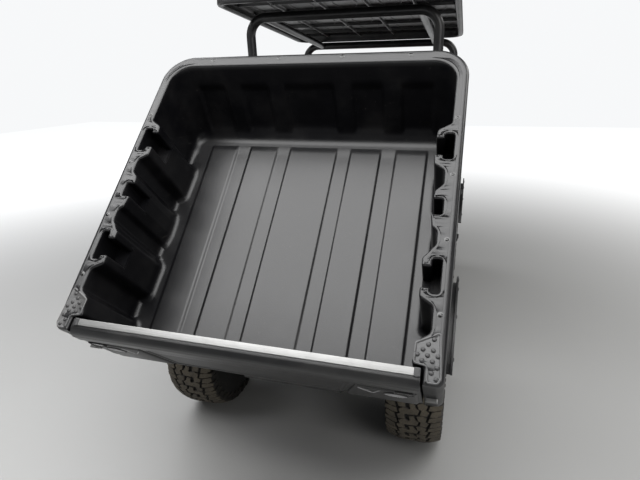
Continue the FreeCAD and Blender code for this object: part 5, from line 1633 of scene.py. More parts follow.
@dataclass
class Seats:
    """Four stuffed cushions on the two seats, swollen by cloth under pressure, with sewn channels, in mm."""

    across: tuple[float, float] = (-317.9, 317.9)
    half: float = 240.0
    shrink: float = 9.0
    base: tuple[tuple[float, float], ...] = ((690.0, 602.3), (1185.0, 602.3), (1195.0, 690.0),
                                             (1150.0, 722.0), (690.0, 700.0))
    back: tuple[tuple[float, float], ...] = ((634.3, 706.0), (760.0, 706.0), (742.0, 1010.0), (718.0, 1290.0),
                                             (655.0, 1300.0), (634.3, 1110.0))
    welts: tuple[tuple[tuple[float, float], ...], ...] = (((790.0, 700.0), (1146.0, 716.0), (1184.0, 686.0)),
                                                          ((752.0, 740.0), (736.0, 1010.0), (712.0, 1270.0)))

    def blank(self, x: float, outline: Sequence[tuple[float, float]], lower: float) -> bpy.types.Object:
        """The cushion's plain form, a little inside its solid: the side outline swept across and eased."""
        parts = MeshParts()
        line = rounded_path(np.array(outline), 26.0, 12.0, closed=True)
        centre = line.mean(axis=0)
        line = centre + (line - centre) * (1.0 - 2.0 * lower / np.ptp(line, axis=0))
        h = self.half - lower
        side = plane((x, 0.0, 0.0), AHEAD, UP)
        steps = [(22.0, -h), (8.0, -h + 4.0), (2.0, -h + 11.0), (0.0, -h + 22.0)]
        steps += [(0.0, h - 22.0), (2.0, h - 11.0), (8.0, h - 4.0), (22.0, h)]
        parts.plate(line, steps, side)
        return parts.build("cushion_blank", SEAT_VINYL)

    @staticmethod
    def swell(item: bpy.types.Object, cap: float) -> None:
        """Swell a closed form with cloth under pressure and hold every point within a cap of its start."""
        remesh = item.modifiers.new("even", "REMESH")
        remesh.mode = "VOXEL"
        remesh.voxel_size = 0.006
        take_mesh(item)
        start = np.empty(len(item.data.vertices) * 3, dtype=np.float32)
        item.data.vertices.foreach_get("co", start)
        cloth = item.modifiers.new("cloth", "CLOTH")
        cloth.settings.use_pressure = True
        cloth.settings.uniform_pressure_force = 4.0
        cloth.settings.effector_weights.gravity = 0.0
        cloth.settings.quality = 4
        cloth.collision_settings.use_collision = False
        for step in range(1, 15):
            bpy.context.scene.frame_set(step)
        take_mesh(item)
        end = np.empty(len(item.data.vertices) * 3, dtype=np.float32)
        item.data.vertices.foreach_get("co", end)
        first, move = start.reshape(-1, 3), (end - start).reshape(-1, 3)
        far = np.linalg.norm(move, axis=1)
        move *= np.minimum(1.0, cap / np.maximum(far, 1e-9))[:, None]
        item.data.vertices.foreach_set("co", (first + move).ravel())
        item.data.update()
        bpy.context.scene.frame_set(1)

    def groove(self, item: bpy.types.Object, x: float, base: bool) -> None:
        """Press the sewn channels in: each is a dip d exp(-(t / w)^2) along the way that the face looks."""
        count = len(item.data.vertices)
        co = np.empty(count * 3, dtype=np.float32)
        normal = np.empty(count * 3, dtype=np.float32)
        item.data.vertices.foreach_get("co", co)
        item.data.vertex_normals.foreach_get("vector", normal)
        co, normal = co.reshape(-1, 3).astype(float), normal.reshape(-1, 3)
        u = co[:, 0] * 1000.0 - x
        along = (co[:, 1] - AXLE_Y) * 1000.0 if base else co[:, 2] * 1000.0
        if base:
            facing = np.clip(normal[:, 2], 0.0, 1.0)
            lines, bolsters = (790.0, 880.0, 970.0, 1060.0), 150.0
        else:
            facing = np.clip(normal[:, 1], 0.0, 1.0)
            lines, bolsters = (800.0, 900.0, 1000.0, 1100.0, 1195.0), 150.0
        inside = smooth((bolsters + 8.0 - np.abs(u)) / 12.0)
        dip = np.zeros(count)
        for line in lines:
            dip = np.maximum(dip, np.exp(-((along - line) / 7.0) ** 2) * inside * 6.5)
        dip = np.maximum(dip, np.exp(-((np.abs(u) - bolsters) / 7.0) ** 2) * 8.0)
        co -= normal * (dip * facing * 0.001)[:, None]
        item.data.vertices.foreach_set("co", co.astype(np.float32).ravel())
        item.data.update()

    def settle(self, item: bpy.types.Object, x: float,
               line: Sequence[tuple[float, float]]) -> list[np.ndarray]:
        """Lay a cushion's two lines of piping on its form.

        Each point goes to the form's nearest vertex, and a running mean of seven evens the line.

        Args:
            item: The finished cushion.
            x: The seat's middle.
            line: Corners of the line as (y, z).

        Returns:
            The points of the left and the right line.
        """
        co = np.empty(len(item.data.vertices) * 3, dtype=np.float32)
        item.data.vertices.foreach_get("co", co)
        co = co.reshape(-1, 3)
        laid = []
        for side in (1.0, -1.0):
            edge = np.array([(x + side * (self.half - 10.0), y, z) for y, z in line])
            edge = stand(rounded_path(edge, 30.0, 9.0)).astype(np.float32)
            near = co[np.argmin(((edge[:, None] - co[None]) ** 2).sum(axis=2), axis=1)]
            wide = np.pad(near, ((3, 3), (0, 0)), mode="edge")
            laid.append(np.mean([wide[k:k + len(near)] for k in range(7)], axis=0))
        return laid

    def build(self) -> list[bpy.types.Object]:
        """Build the cushions as one piece and their piping and plinths as another."""
        made, lines = [], []
        for x in self.across:
            for outline, base in ((self.base, True), (self.back, False)):
                item = self.blank(x, outline, self.shrink)
                self.swell(item, 0.008)
                self.groove(item, x, base)
                lines += self.settle(item, x, self.welts[0] if base else self.welts[1])
                made.append(item)
        cushions = merge_meshes("seat_cushions", made)
        cushions.data.materials.clear()
        cushions.data.materials.append(SEAT_VINYL.material())
        cushions.data.shade_smooth()
        ride_on(cushions, "chassis", SEAT_VINYL, "seats")
        return [cushions, self.trim(lines)]

    def trim(self, lines: Sequence[np.ndarray]) -> bpy.types.Object:
        """Cushions' piping along the lines laid on them, belt buckles and the plinths under the cushions."""
        parts = MeshParts()
        for line in lines:
            parts.grid(tube_along(line, 0.0034, 8), loop_columns=True)
        for x in self.across:
            floor = plane((x, 0.0, 602.2), ACROSS, AHEAD)
            inner = -math.copysign(1.0, x)
            for k in (0.0, 1.0):
                v = 762.0 + k * 26.0
                stalk = np.array([(x + inner * 246.0, v, 606.0), (x + inner * 250.0, v + 4.0, 690.0),
                                  (x + inner * 246.0, v + 8.0, 742.0)])
                parts.grid(tube_along(stand(rounded_path(stalk, 40.0, 8.0)), 0.0055, 8), loop_columns=True)
            buckle = plane((x + inner * 246.0, 783.0, 752.0), AHEAD, UP)
            parts.plate(rectangle(-26.0, 26.0, -18.0, 26.0, 6.0), [(0.0, -9.0), (0.0, 8.0), (1.5, 9.5)],
                        buckle, slot=1)
            parts.plate(rectangle(-10.0, 10.0, 10.0, 22.0, 3.0), [(0.0, 9.0), (0.6, 11.0)], buckle, slot=2)
            parts.plate(rectangle(-self.half + 18.0, self.half - 18.0, 700.0, 1176.0, 20.0),
                        [(0.0, -0.2), (0.0, 3.0)], floor)
        item = parts.build("seat_trim", TRIM_PLASTIC, CAB_PLASTIC, LENS_RED)
        return ride_on(item, "chassis", TRIM_PLASTIC)


def take_mesh(item: bpy.types.Object) -> None:
    """Replace an object's mesh by its evaluated one and drop its modifiers."""
    bpy.context.view_layer.update()
    graph = bpy.context.evaluated_depsgraph_get()
    mesh = bpy.data.meshes.new_from_object(item.evaluated_get(graph))
    old = item.data
    item.modifiers.clear()
    item.data = mesh
    bpy.data.meshes.remove(old)


def merge_meshes(name: str, items: Sequence[bpy.types.Object]) -> bpy.types.Object:
    """One object holding the meshes of several, which are removed."""
    work = bmesh.new()
    for item in items:
        work.from_mesh(item.data)
    mesh = bpy.data.meshes.new(name)
    work.to_mesh(mesh)
    work.free()
    for item in items:
        old = item.data
        bpy.data.objects.remove(item)
        bpy.data.meshes.remove(old)
    merged = bpy.data.objects.new(name, mesh)
    bpy.context.scene.collection.objects.link(merged)
    LOG.info("%s: %d faces", name, len(mesh.polygons))
    return merged


@dataclass
class SteeringWheel:
    """Wheel with a grip that swells at the hands, three pierced spokes and a hub pad, in mm."""

    centre: tuple[float, float, float] = (-318.0, 1335.0, 1015.0)
    tilt: float = 40.0
    radius: float = 175.0
    grip: float = 14.0

    def build(self) -> bpy.types.Object:
        """Build the wheel; the rim's thickness is r (1 + 0.1 cos 2a) with low finger waves behind.

        Returns:
            The piece, riding on the turning wheel.
        """
        s, c = math.sin(math.radians(self.tilt)), math.cos(math.radians(self.tilt))
        face = plane(self.centre, ACROSS, (0.0, s, c))
        parts = MeshParts()
        a = np.linspace(0.0, math.tau, 120, endpoint=False)[:, None]
        b = np.linspace(0.0, math.tau, 20, endpoint=False)[None, :]
        waves = np.clip(np.sin(a * 36.0), 0.0, 1.0) * np.clip(-np.sin(b), 0.0, 1.0)
        r = self.grip * (0.92 + 0.06 * np.cos(a * 2.0) ** 2 - 0.05 * waves)
        ring_r = self.radius + r * np.cos(b)
        places = np.stack([ring_r * np.cos(a), ring_r * np.sin(a), r * np.sin(b)], axis=-1)
        parts.grid(face(places), loop_rows=True, loop_columns=True)
        for angle in (20.0, 160.0, 270.0):
            t = math.radians(angle)
            out = (math.cos(t), math.sin(t) * s, math.sin(t) * c)
            left = (-math.sin(t), math.cos(t) * s, math.cos(t) * c)
            spoke = plane(self.centre, out, left)
            shape = rounded_path(np.array([(26.0, -24.0), (74.0, -13.0), (170.0, -17.0), (170.0, 17.0),
                                           (74.0, 13.0), (26.0, 24.0)]), 8.0, 5.0, closed=True)
            parts.plate(shape, [(0.0, -12.6), (0.0, -6.0), (0.5, -4.4), (2.0, -3.6)], spoke, slot=1)
            for u in (84.0, 108.0, 131.0):
                parts.plate(oval(u, 0.0, 7.0, 6.0, 20),
                            [(0.0, -4.0), (0.0, -2.9), (0.8, -2.4), (1.8, -2.5), (2.4, -4.2)], spoke, slot=1)
        hub = ((0.02, -42.0), (38.0, -42.0), (40.0, -40.0), (40.0, -10.0), (47.0, -4.0), (48.0, 3.0),
               (44.0, 8.0), (30.0, 12.0), (12.0, 14.0), (0.02, 14.3))
        stem = ((0.02, -138.0), (14.0, -138.0), (14.0, -41.0), (17.0, -40.0), (0.02, -39.0))
        axle = [stood(self.centre, (0.0, -c, s))]
        parts.turned(hub, 40, axle)
        parts.turned(stem, 24, axle, slot=1)
        item = parts.build("hand_wheel", BOOT_RUBBER, CAGE_BLACK, sharp=45.0)
        return ride_on(item, "steering_wheel", BOOT_RUBBER, "steering_wheel")


@dataclass
class CabDetails:
    """Dash moulding, gauge, switches, vents, pedal treads, mat ribs and the gear lever's boot, in mm."""

    console_mid: float = 1250.1

    def shell(self) -> bpy.types.Object:
        """Dash moulding: its eased side profile swept across and rounded at both ends, with a parting line."""
        parts = MeshParts()
        profile = rounded_path(np.array([(1495.0, 800.0), (1465.0, 985.0), (1516.0, 1054.0), (1650.0, 1065.0),
                                         (1692.0, 1020.0), (1650.0, 900.0), (1560.0, 840.0)]),
                               [6.0, 34.0, 30.0, 24.0, 12.0, 20.0, 30.0], 6.0, closed=True)
        sweep = plane((0.0, 0.0, 0.0), AHEAD, UP)
        h = 535.0
        steps = [(16.0, -h), (7.0, -h + 2.5), (2.0, -h + 8.0), (0.0, -h + 17.0), (0.0, -80.0), (1.6, -78.0),
                 (1.6, -76.0), (0.0, -74.0), (0.0, h - 17.0), (2.0, h - 8.0), (7.0, h - 2.5), (16.0, h)]
        parts.plate(profile, steps, sweep)
        return ride_on(parts.build("dash_shell", CAB_PLASTIC, sharp=45.0), "chassis", CAB_PLASTIC, "dash")

    def dash(self, parts: MeshParts) -> None:
        """Round gauge with a hood before the driver, a switch row, vents and a grab bar for the passenger."""
        lean = np.array([0.0, -0.160, 0.987])
        face = plane((0.0, 1465.1, 984.2), ACROSS, tuple(lean))
        gauge = ((56.0, -4.0), (56.0, 9.0), (53.0, 12.0), (49.0, 12.0), (46.0, 6.0), (44.0, 4.6), (0.02, 5.2))
        parts.turned(gauge, 40, [stood((-318.0, 1471.0, 947.0), np.cross(ACROSS, lean))], slot=1)
        for k in range(5):
            u = -120.0 + k * 34.0
            parts.plate(rectangle(u - 13.0, u + 13.0, -78.0, -38.0, 4.0),
                        [(0.0, -2.0), (0.0, 3.0), (0.8, 4.2)], face)
            parts.plate(rectangle(u - 9.5, u + 9.5, -73.0, -43.0, 3.0), [(0.0, 3.0), (0.6, 7.0), (2.0, 8.0)],
                        face, slot=2)
        for u in (-440.0, 440.0):
            for k in range(4):
                v = -60.0 + k * 12.0
                parts.plate(rectangle(u - 40.0, u + 40.0, v - 3.0, v + 3.0, 2.9),
                            [(0.0, -2.0), (0.0, 4.0), (0.8, 5.2)], face, slot=2)
        bar = np.array([(190.0, 1482.0, 905.0), (190.0, 1432.0, 900.0), (430.0, 1432.0, 900.0),
                        (430.0, 1482.0, 905.0)])
        parts.grid(tube_along(stand(rounded_path(bar, 26.0, 8.0)), 0.011, 14), loop_columns=True, slot=2)

    def floor(self, parts: MeshParts) -> None:
        """Raised mat ribs in both footwells and treads on the pedals."""
        ground = plane((0.0, 0.0, 349.0), ACROSS, AHEAD)
        for side in (1.0, -1.0):
            for k in range(11):
                v = 1196.0 + k * 32.0
                parts.plate(rectangle(side * 292.0 - 190.0, side * 292.0 + 190.0, v - 6.0, v + 6.0, 5.9),
                            [(0.0, -0.3), (0.8, 3.0), (2.5, 4.4)], ground, slot=2)
        for x, w in ((-400.0, 60.0), (-250.0, 48.0)):
            tread = plane((x, 1500.0, 515.0), ACROSS, UP)
            parts.plate(rectangle(-w / 2 + 1.0, w / 2 - 1.0, -44.0, 44.0, 7.0),
                        [(0.0, -1.0), (0.0, 3.0), (1.2, 4.4)], tread, slot=2)
            for k in range(5):
                v = -32.0 + k * 16.0
                parts.plate(rectangle(-w / 2 + 6.0, w / 2 - 6.0, v - 3.0, v + 3.0, 2.9),
                            [(0.0, 4.0), (0.8, 6.4)], tread, slot=2)

    def lever(self, parts: MeshParts) -> None:
        """Gate plate and pleated boot round the gear lever."""
        boot = [(30.0, 0.0), (33.0, 4.0), (26.0, 9.0), (28.0, 14.0), (20.0, 19.0), (22.0, 24.0), (14.0, 30.0),
                (15.0, 35.0), (9.6, 42.0)]
        y = self.console_mid
        parts.turned(boot, 32, [stood((0.0, y, 639.0), (0.0, -35.0, 170.0))], slot=2)
        top = plane((0.0, y, 640.0), ACROSS, AHEAD)
        parts.plate(rectangle(-44.0, 44.0, -52.0, 52.0, 10.0), [(0.0, -0.5), (0.6, 1.6), (2.0, 2.2)], top)

    def build(self) -> list[bpy.types.Object]:
        """Build the dash moulding, and the cab's small pieces as one."""
        parts = MeshParts()
        self.dash(parts)
        self.floor(parts)
        self.lever(parts)
        item = parts.build("cab_details", CAB_PLASTIC, LENS_DARK, FLOOR_RUBBER)
        return [self.shell(), ride_on(item, "chassis", CAB_PLASTIC)]


# running gear

@dataclass
class RunningGear:
    """Coil springs, pleated boots, case ribs and pipe clamps, in mm."""

    wheelbase: float = 2040.0
    axle: float = 333.0
    coil: float = 27.5
    wire: float = 5.2
    turns: float = 7.0

    def shocks(self) -> list[tuple[Array, Array]]:
        """Foot and head of each shock absorber."""
        found = []
        for y, rail, foot in ((self.wheelbase, 160.0, (300.0, 276.0)), (0.0, 200.0, (320.0, 286.0))):
            for side in (1.0, -1.0):
                found.append((np.array([side * foot[0], y + 54.0, foot[1]]),
                              np.array([side * (rail + 35.3), y + 54.0, 670.0])))
        return found

    def springs(self, parts: MeshParts) -> None:
        """A helix between each pair of spring plates: (R cos t, R sin t) with closed ends."""
        for foot, head in self.shocks():
            axis = head - foot
            length = float(np.linalg.norm(axis))
            axis /= length
            u = np.cross(axis, AHEAD)
            u /= np.linalg.norm(u)
            v = np.cross(axis, u)
            t = np.linspace(0.0, 1.0, int(self.turns * 26))
            angle = t * math.tau * self.turns
            low, high = 68.0 + self.wire, length - 74.0 - self.wire
            rise = low + (high - low) * (0.86 * t + 0.14 * smooth(t))
            circle = u * np.cos(angle)[:, None] + v * np.sin(angle)[:, None]
            path = foot + axis * rise[:, None] + self.coil * circle
            parts.grid(tube_along(stand(path), self.wire * 0.001, 10), loop_columns=True)
            ends = [stood(path[0], path[0] - path[1]), stood(path[-1], path[-1] - path[-2])]
            parts.turned(((self.wire, -0.5), (self.wire * 0.8, 0.8), (0.02, 1.2)), 10, ends)

    def boots(self, parts: MeshParts) -> None:
        """Pleated rubber boots on the half shafts: a lathe whose radius waves between two cones."""
        t = np.linspace(0.0, 1.0, 57)
        for y, inner, outer in ((self.wheelbase, 118.0, 326.0), (0.0, 140.0, 348.0)):
            for side in (1.0, -1.0):
                for start, way, big in ((inner, 1.0, 37.0), (outer + 8.0, -1.0, 33.0 if y == 0.0 else 29.0)):
                    fall = big + (15.5 - big) * t
                    r = fall + 2.4 * np.cos(t * math.tau * 6.0) * (1.0 - t * 0.4)
                    h = t * 74.0
                    profile = np.vstack([[13.2, 0.0], [big + 1.5, 0.0], np.column_stack([r, h]),
                                         [13.2, 74.0]])
                    parts.turned(profile, 30, [stood((side * start, y, self.axle), (side * way, 0.0, 0.0))])

    def clamps(self, parts: MeshParts) -> None:
        """Bright bands round the boots' ends."""
        band = ((39.0, -3.5), (40.2, -3.2), (40.2, 3.2), (39.0, 3.5))
        small = ((18.0, -3.0), (19.2, -2.7), (19.2, 2.7), (18.0, 3.0))
        for y, inner in ((self.wheelbase, 118.0), (0.0, 140.0)):
            for side in (1.0, -1.0):
                for profile, count, reach in ((band, 30, 5.0), (small, 24, 70.0)):
                    parts.turned(profile, count, [stood((side * (inner + reach), y, self.axle), ACROSS)],
                                 slot=1)

    def cases(self, parts: MeshParts) -> None:
        """Cooling ribs and bolts on the gear cases and the engine block."""
        top = plane((0.0, 0.0, self.axle + 150.0), ACROSS, AHEAD)
        for k in range(7):
            u = -78.0 + k * 26.0
            parts.plate(rectangle(u - 3.0, u + 3.0, -110.0, 120.0, 2.9, 8.0),
                        [(-1.5, -1.0), (0.0, 3.0), (0.9, 10.0)], top, slot=2)
        block = plane((0.0, 365.0, 740.0), ACROSS, AHEAD)
        parts.plate(rectangle(-120.0, 120.0, -130.0, 130.0, 30.0, 8.0),
                    [(0.0, -2.0), (0.0, 12.0), (3.0, 17.0), (9.0, 18.0)], block, slot=2)
        for k in range(6):
            u = -90.0 + k * 36.0
            parts.plate(rectangle(u - 4.0, u + 4.0, -110.0, 110.0, 3.9, 8.0),
                        [(-2.0, 16.0), (0.0, 20.0), (1.0, 25.0)], block, slot=2)
        spots = [stood((u, 365.0 + v, 757.0)) for u in (-105.0, 105.0) for v in (-112.0, 0.0, 112.0)]
        parts.turned(BOLT_HEAD, 6, spots, slot=1)
        for side in (1.0, -1.0):
            wall = plane((side * 160.0, 365.0, 570.0), (0.0, side, 0.0), UP)
            for k in range(7):
                v = -120.0 + k * 36.0
                parts.plate(rectangle(-135.0, 135.0, v - 4.0, v + 4.0, 3.9, 8.0),
                            [(-2.0, -1.0), (0.0, 3.0), (1.2, 9.0)], wall, slot=2)

    def exhaust(self) -> bpy.types.Object:
        """Rolled seams, straps and a tip guard on the silencer."""
        parts = MeshParts()
        seam = [(75.0, -5.0), (78.0, -4.0), (78.6, 0.0), (78.0, 4.0), (75.0, 5.0)]
        strap = [(75.2, -11.0), (77.4, -11.0), (77.4, 11.0), (75.2, 11.0)]
        bead = [(75.0, -3.0), (76.4, 0.0), (75.0, 3.0)]
        for profile, slot, spots in ((seam, 0, (-122.0, 142.0)), (strap, 1, (-58.0, 72.0)),
                                     (bead, 0, (-90.0, -20.0, 10.0, 40.0, 105.0))):
            parts.turned(profile, 48, [stood((x, -250.0, 600.0), ACROSS) for x in spots], slot=slot)
        tip = ((20.2, -12.0), (24.0, -12.0), (25.0, -10.0), (25.0, 12.0), (23.6, 13.5), (21.0, 13.5))
        parts.turned(tip, 32, [stood((90.0, -366.0, 453.2), (0.0, -130.0, -30.0))])
        item = parts.build("exhaust_trim", PIPE_STEEL, FRAME_STEEL)
        return ride_on(item, "chassis", PIPE_STEEL)

    def build(self) -> list[bpy.types.Object]:
        """Build the springs, the boots with the case details, and the exhaust's trim."""
        coils = MeshParts()
        self.springs(coils)
        springs = ride_on(coils.build("coil_springs", SPRING_PAINT, sharp=60.0), "chassis", SPRING_PAINT)
        parts = MeshParts()
        self.boots(parts)
        self.clamps(parts)
        self.cases(parts)
        boots = parts.build("boots_and_ribs", BOOT_RUBBER, BOLT_ZINC, CAST_GREY, sharp=60.0)
        return [springs, ride_on(boots, "chassis", BOOT_RUBBER), self.exhaust()]


# outer body

@dataclass
class FrontBody:
    """Hood panels, grille and lamps, in mm."""

    wheelbase: float = 2040.0
    half: float = 392.0

    def skin(self) -> bpy.types.Object:
        """Hood skin: its rounded side line swept across, rolled down at both sides to the lower line.

        Across the middle it rises by 12 s(u) s(v) mm with smooth steps s, the raised panel.

        Returns:
            The skin as one sheet with a wall behind it.
        """
        f = self.wheelbase
        line = rounded_path(np.array([(f - 335.0, 979.0), (f - 80.0, 971.0), (f + 160.0, 909.0),
                                      (f + 270.0, 839.0),
                                      (f + 312.0, 770.0)]), [0.0, 420.0, 260.0, 90.0, 0.0], 11.0)
        under = np.interp(line[:, 0], [f - 335.0, f - 90.0, f + 150.0, f + 250.0, f + 312.0],
                          [940.0, 925.0, 860.0, 790.0, 726.0])
        up = sideways(line)
        r = 24.0
        t = np.linspace(0.0, math.pi / 2, 8)
        arc_x, arc_h = self.half - 2.0 - r + r * np.sin(t), -r * (1.0 - np.cos(t))
        flat = np.linspace(0.0, self.half - 2.0 - r, 46)
        columns = [(x, 0.0) for x in flat] + list(zip(arc_x[1:], arc_h[1:]))
        rows = []
        for x, h in columns:
            crown = 12.0 * smooth((184.0 - x) / 26.0) * smooth((line[:, 0] - f + 312.0) / 26.0)
            crown = crown * smooth((f - 40.0 - line[:, 0]) / 60.0)
            spot = line + up * (h + crown)[:, None]
            rows.append(np.column_stack([np.full(len(line), x), spot]))
        last = rows[-1]
        for k in (0.35, 0.7, 1.0):
            wall = last.copy()
            wall[:, 2] += (under - last[:, 2]) * k
            wall[:, 1] += (line[:, 0] - last[:, 1]) * k
            rows.append(wall)
        right = np.stack(rows, axis=1)
        left = right[:, :0:-1] * np.array([-1.0, 1.0, 1.0])
        parts = MeshParts()
        parts.grid(stand(np.concatenate([left, right], axis=1)))
        item = parts.build("hood_skin", BODY_PAINT, sharp=60.0)
        add_solidify(item, 0.0036)
        return ride_on(item, "chassis", BODY_PAINT, "hood")

    def hood(self, parts: MeshParts) -> None:
        """Raised side panels, louvres over the hood, and its two fasteners."""
        f = self.wheelbase
        slope = math.atan2(8.0, 255.0)
        up = plane((0.0, f - 335.0, 979.0), ACROSS, (0.0, math.cos(slope), -math.sin(slope)))
        for side in (1.0, -1.0):
            shape = rounded_path(np.array([(212.0, 20.0), (366.0, 20.0), (356.0, 236.0),
                                           (222.0, 236.0)]) * (side, 1.0), 18.0, 8.0, closed=True)
            parts.plate(shape, [(0.0, -0.6), (1.0, 2.4), (4.0, 4.2), (8.0, 4.6)], up)
            for k in range(5):
                v = 70.0 + k * 28.0
                parts.plate(rectangle(side * 290.0 - 46.0, side * 290.0 + 46.0, v - 5.0, v + 5.0, 4.9),
                            [(0.0, 4.0), (0.8, 8.0), (3.0, 9.0)], up, slot=1)
        cap = ((15.0, -1.0), (15.0, 2.0), (12.0, 4.0), (5.0, 4.4), (5.0, 2.6), (0.02, 2.6))
        parts.turned(cap, 24, [stood((s * 340.0, f - 296.0, 983.0)) for s in (1, -1)], slot=1)

    def nose(self, parts: MeshParts) -> None:
        """Hexagonal mesh behind the slots and a raised bar between each two of them."""
        face = plane((0.0, 2341.0, 0.0), (-1.0, 0.0, 0.0), UP)
        parts.plate(rectangle(-212.0, 212.0, 432.0, 662.0, 14.0, 8.0), [(0.0, -1.5), (0.0, 1.0), (1.0, 1.6)],
                    face, slot=1)
        for row, v in enumerate(np.arange(444.0, 656.0, 13.0)):
            for u in np.arange(-196.0 + (7.5 if row % 2 else 0.0), 200.0, 15.0):
                parts.plate(oval(u, v, 6.2, 5.4, 6), [(0.0, 1.4), (0.8, 6.0), (1.6, 1.2)], face, slot=1)
        for z in (468.0, 508.0, 548.0, 588.0, 628.0):
            bar = plane((0.0, 2382.6, z), (-1.0, 0.0, 0.0), UP)
            parts.plate(rectangle(-206.0, 206.0, -7.0, 7.0, 5.0, 8.0),
                        [(0.0, -3.0), (0.6, 3.0), (2.6, 5.0), (5.0, 5.6)], bar)

    def lamps(self) -> bpy.types.Object:
        """Headlamps: a chrome bowl, a ring and a stepped lens on each, replacing the plain blocks."""
        parts = MeshParts()
        for side in (1.0, -1.0):
            u = side * 331.0
            front = plane((u, 2380.0, 650.0), (-1.0, 0.0, 0.0), UP)
            parts.plate(rectangle(-68.4, 68.4, -39.4, 39.4, 14.0, 4.0),
                        [(2.0, -40.0), (0.0, -38.0), (0.0, -8.0), (0.8, -6.0), (4.0, -5.4), (6.0, -9.0),
                         (9.0, -22.0)], front, slot=1)
            parts.plate(rectangle(-62.0, 62.0, -33.0, 33.0, 11.0, 4.0),
                        [(0.0, -9.0), (0.0, -6.4), (2.0, -3.8), (8.0, -2.2), (16.0, -1.6)], front)
            bowl = ((27.0, -9.0), (27.0, -3.6), (25.0, -0.8), (22.0, -0.4), (20.0, -1.4), (0.02, -0.2))
            parts.turned(bowl, 32, [stood((u + du, 2380.0, 650.0), AHEAD) for du in (-30.0, 30.0)], slot=2)
        item = parts.build("headlamp_units", LENS_CLEAR, TRIM_PLASTIC, ROD_CHROME, sharp=45.0)
        return ride_on(item, "chassis", LENS_CLEAR, "headlamps")

    def build(self) -> list[bpy.types.Object]:
        """Build the hood's and nose's details and the lamps."""
        hood_parts, nose_parts = MeshParts(), MeshParts()
        self.hood(hood_parts)
        self.nose(nose_parts)
        hood = ride_on(hood_parts.build("hood_panels", BODY_PAINT, TRIM_PLASTIC), "chassis", BODY_PAINT)
        nose = ride_on(nose_parts.build("grille_mesh", TRIM_PLASTIC, STRUT_BLACK), "chassis", TRIM_PLASTIC)
        return [self.skin(), hood, nose, self.lamps()]


@dataclass
class SideTrim:
    """Door pull, latch and bolts, rocker treads and fender bolts, in mm."""

    def door(self, side: float) -> bpy.types.Object:
        """Outer handle in a cup, an inner pull strap, an inner card and hinge bolts of one door."""
        parts = MeshParts()
        skin = plane((side * 626.3, 0.0, 0.0), (0.0, side, 0.0), UP)
        flip = np.array((side, 1.0))
        cup = rounded_path(np.array([(706.0, 770.0), (836.0, 770.0), (846.0, 818.0), (706.0, 826.0)]) * flip,
                           12.0, 4.0, closed=True)
        parts.plate(cup, [(0.0, -0.6), (0.0, 2.6), (1.4, 4.0), (4.0, 4.2), (6.0, 2.0), (8.0, 1.0)], skin)
        lever = rounded_path(np.array([(724.0, 786.0), (828.0, 784.0), (828.0, 806.0),
                                       (724.0, 810.0)]) * flip, 9.0, 4.0, closed=True)
        parts.plate(lever, [(0.0, 0.6), (0.0, 7.0), (1.4, 9.4), (5.0, 10.4)], skin, slot=1)
        card = plane((side * 602.0, 0.0, 0.0), (0.0, -side, 0.0), UP)
        corners = np.array([(712.0, 470.0), (1480.0, 470.0), (1480.0, 770.0), (760.0, 740.0)])
        shape = rounded_path(corners * (-side, 1.0), 26.0, 8.0, closed=True)
        parts.plate(shape, [(0.0, -21.0), (0.0, -3.0), (2.0, -0.8), (8.0, 0.0), (14.0, -2.4), (18.0, -3.0)],
                    card, slot=2)
        strap = np.array([(side * 600.0, 1080.0, 748.0), (side * 586.0, 1100.0, 752.0),
                          (side * 586.0, 1230.0, 752.0), (side * 600.0, 1250.0, 748.0)])
        parts.grid(tube_along(stand(rounded_path(strap, 12.0, 6.0)), 0.008, 12), loop_columns=True, slot=1)
        spots = [stood((side * 626.0, y, z), (side, 0.0, 0.0)) for y in (1499.0, 1519.0)
                 for z in (476.0, 816.0)]
        parts.turned(BOLT_HEAD, 6, spots, slot=3)
        name = "door_trim_right" if side > 0 else "door_trim_left"
        item = parts.build(name, TRIM_PLASTIC, STRUT_BLACK, CAB_PLASTIC, BOLT_ZINC)
        return ride_on(item, "door_right" if side > 0 else "door_left", TRIM_PLASTIC)

    def rockers(self, parts: MeshParts) -> None:
        """Grip treads on both sills and screws along them."""
        for side in (1.0, -1.0):
            top = plane((side * 600.0, 0.0, 384.0), ACROSS, AHEAD)
            for v in np.arange(486.0, 650.0, 20.0):
                parts.plate(rectangle(-30.0, 30.0, v - 4.0, v + 4.0, 3.9),
                            [(0.0, -0.4), (0.8, 3.0), (2.0, 3.8)], top)
            spots = [stood((side * 640.0, y, 344.0), (side, 0.0, 0.0))
                     for y in np.arange(480.0, 1540.0, 150.0)]
            parts.turned(SCREW_HEAD, 16, spots, slot=1)

    def fenders(self, parts: MeshParts) -> None:
        """Screws along the lips of the four flares."""
        for y, a0, a1, r in ((2040.0, 45.0, 150.0, 455.0), (0.0, 10.0, 150.0, 415.0)):
            for side in (1.0, -1.0):
                spots = [stood((side * 664.0, y + r * math.cos(t), 333.0 + r * math.sin(t)), (side, 0.0, 0.0))
                         for t in np.radians(np.linspace(a0 + 8.0, a1 - 8.0, 6))]
                parts.turned(SCREW_HEAD, 16, spots, slot=1)

    def build(self) -> list[bpy.types.Object]:
        """Build the doors' trim and the sills' and flares' details."""
        parts = MeshParts()
        self.rockers(parts)
        self.fenders(parts)
        sills = ride_on(parts.build("sill_treads", TRIM_PLASTIC, STRUT_BLACK), "chassis", TRIM_PLASTIC)
        return [self.door(1.0), self.door(-1.0), sills]


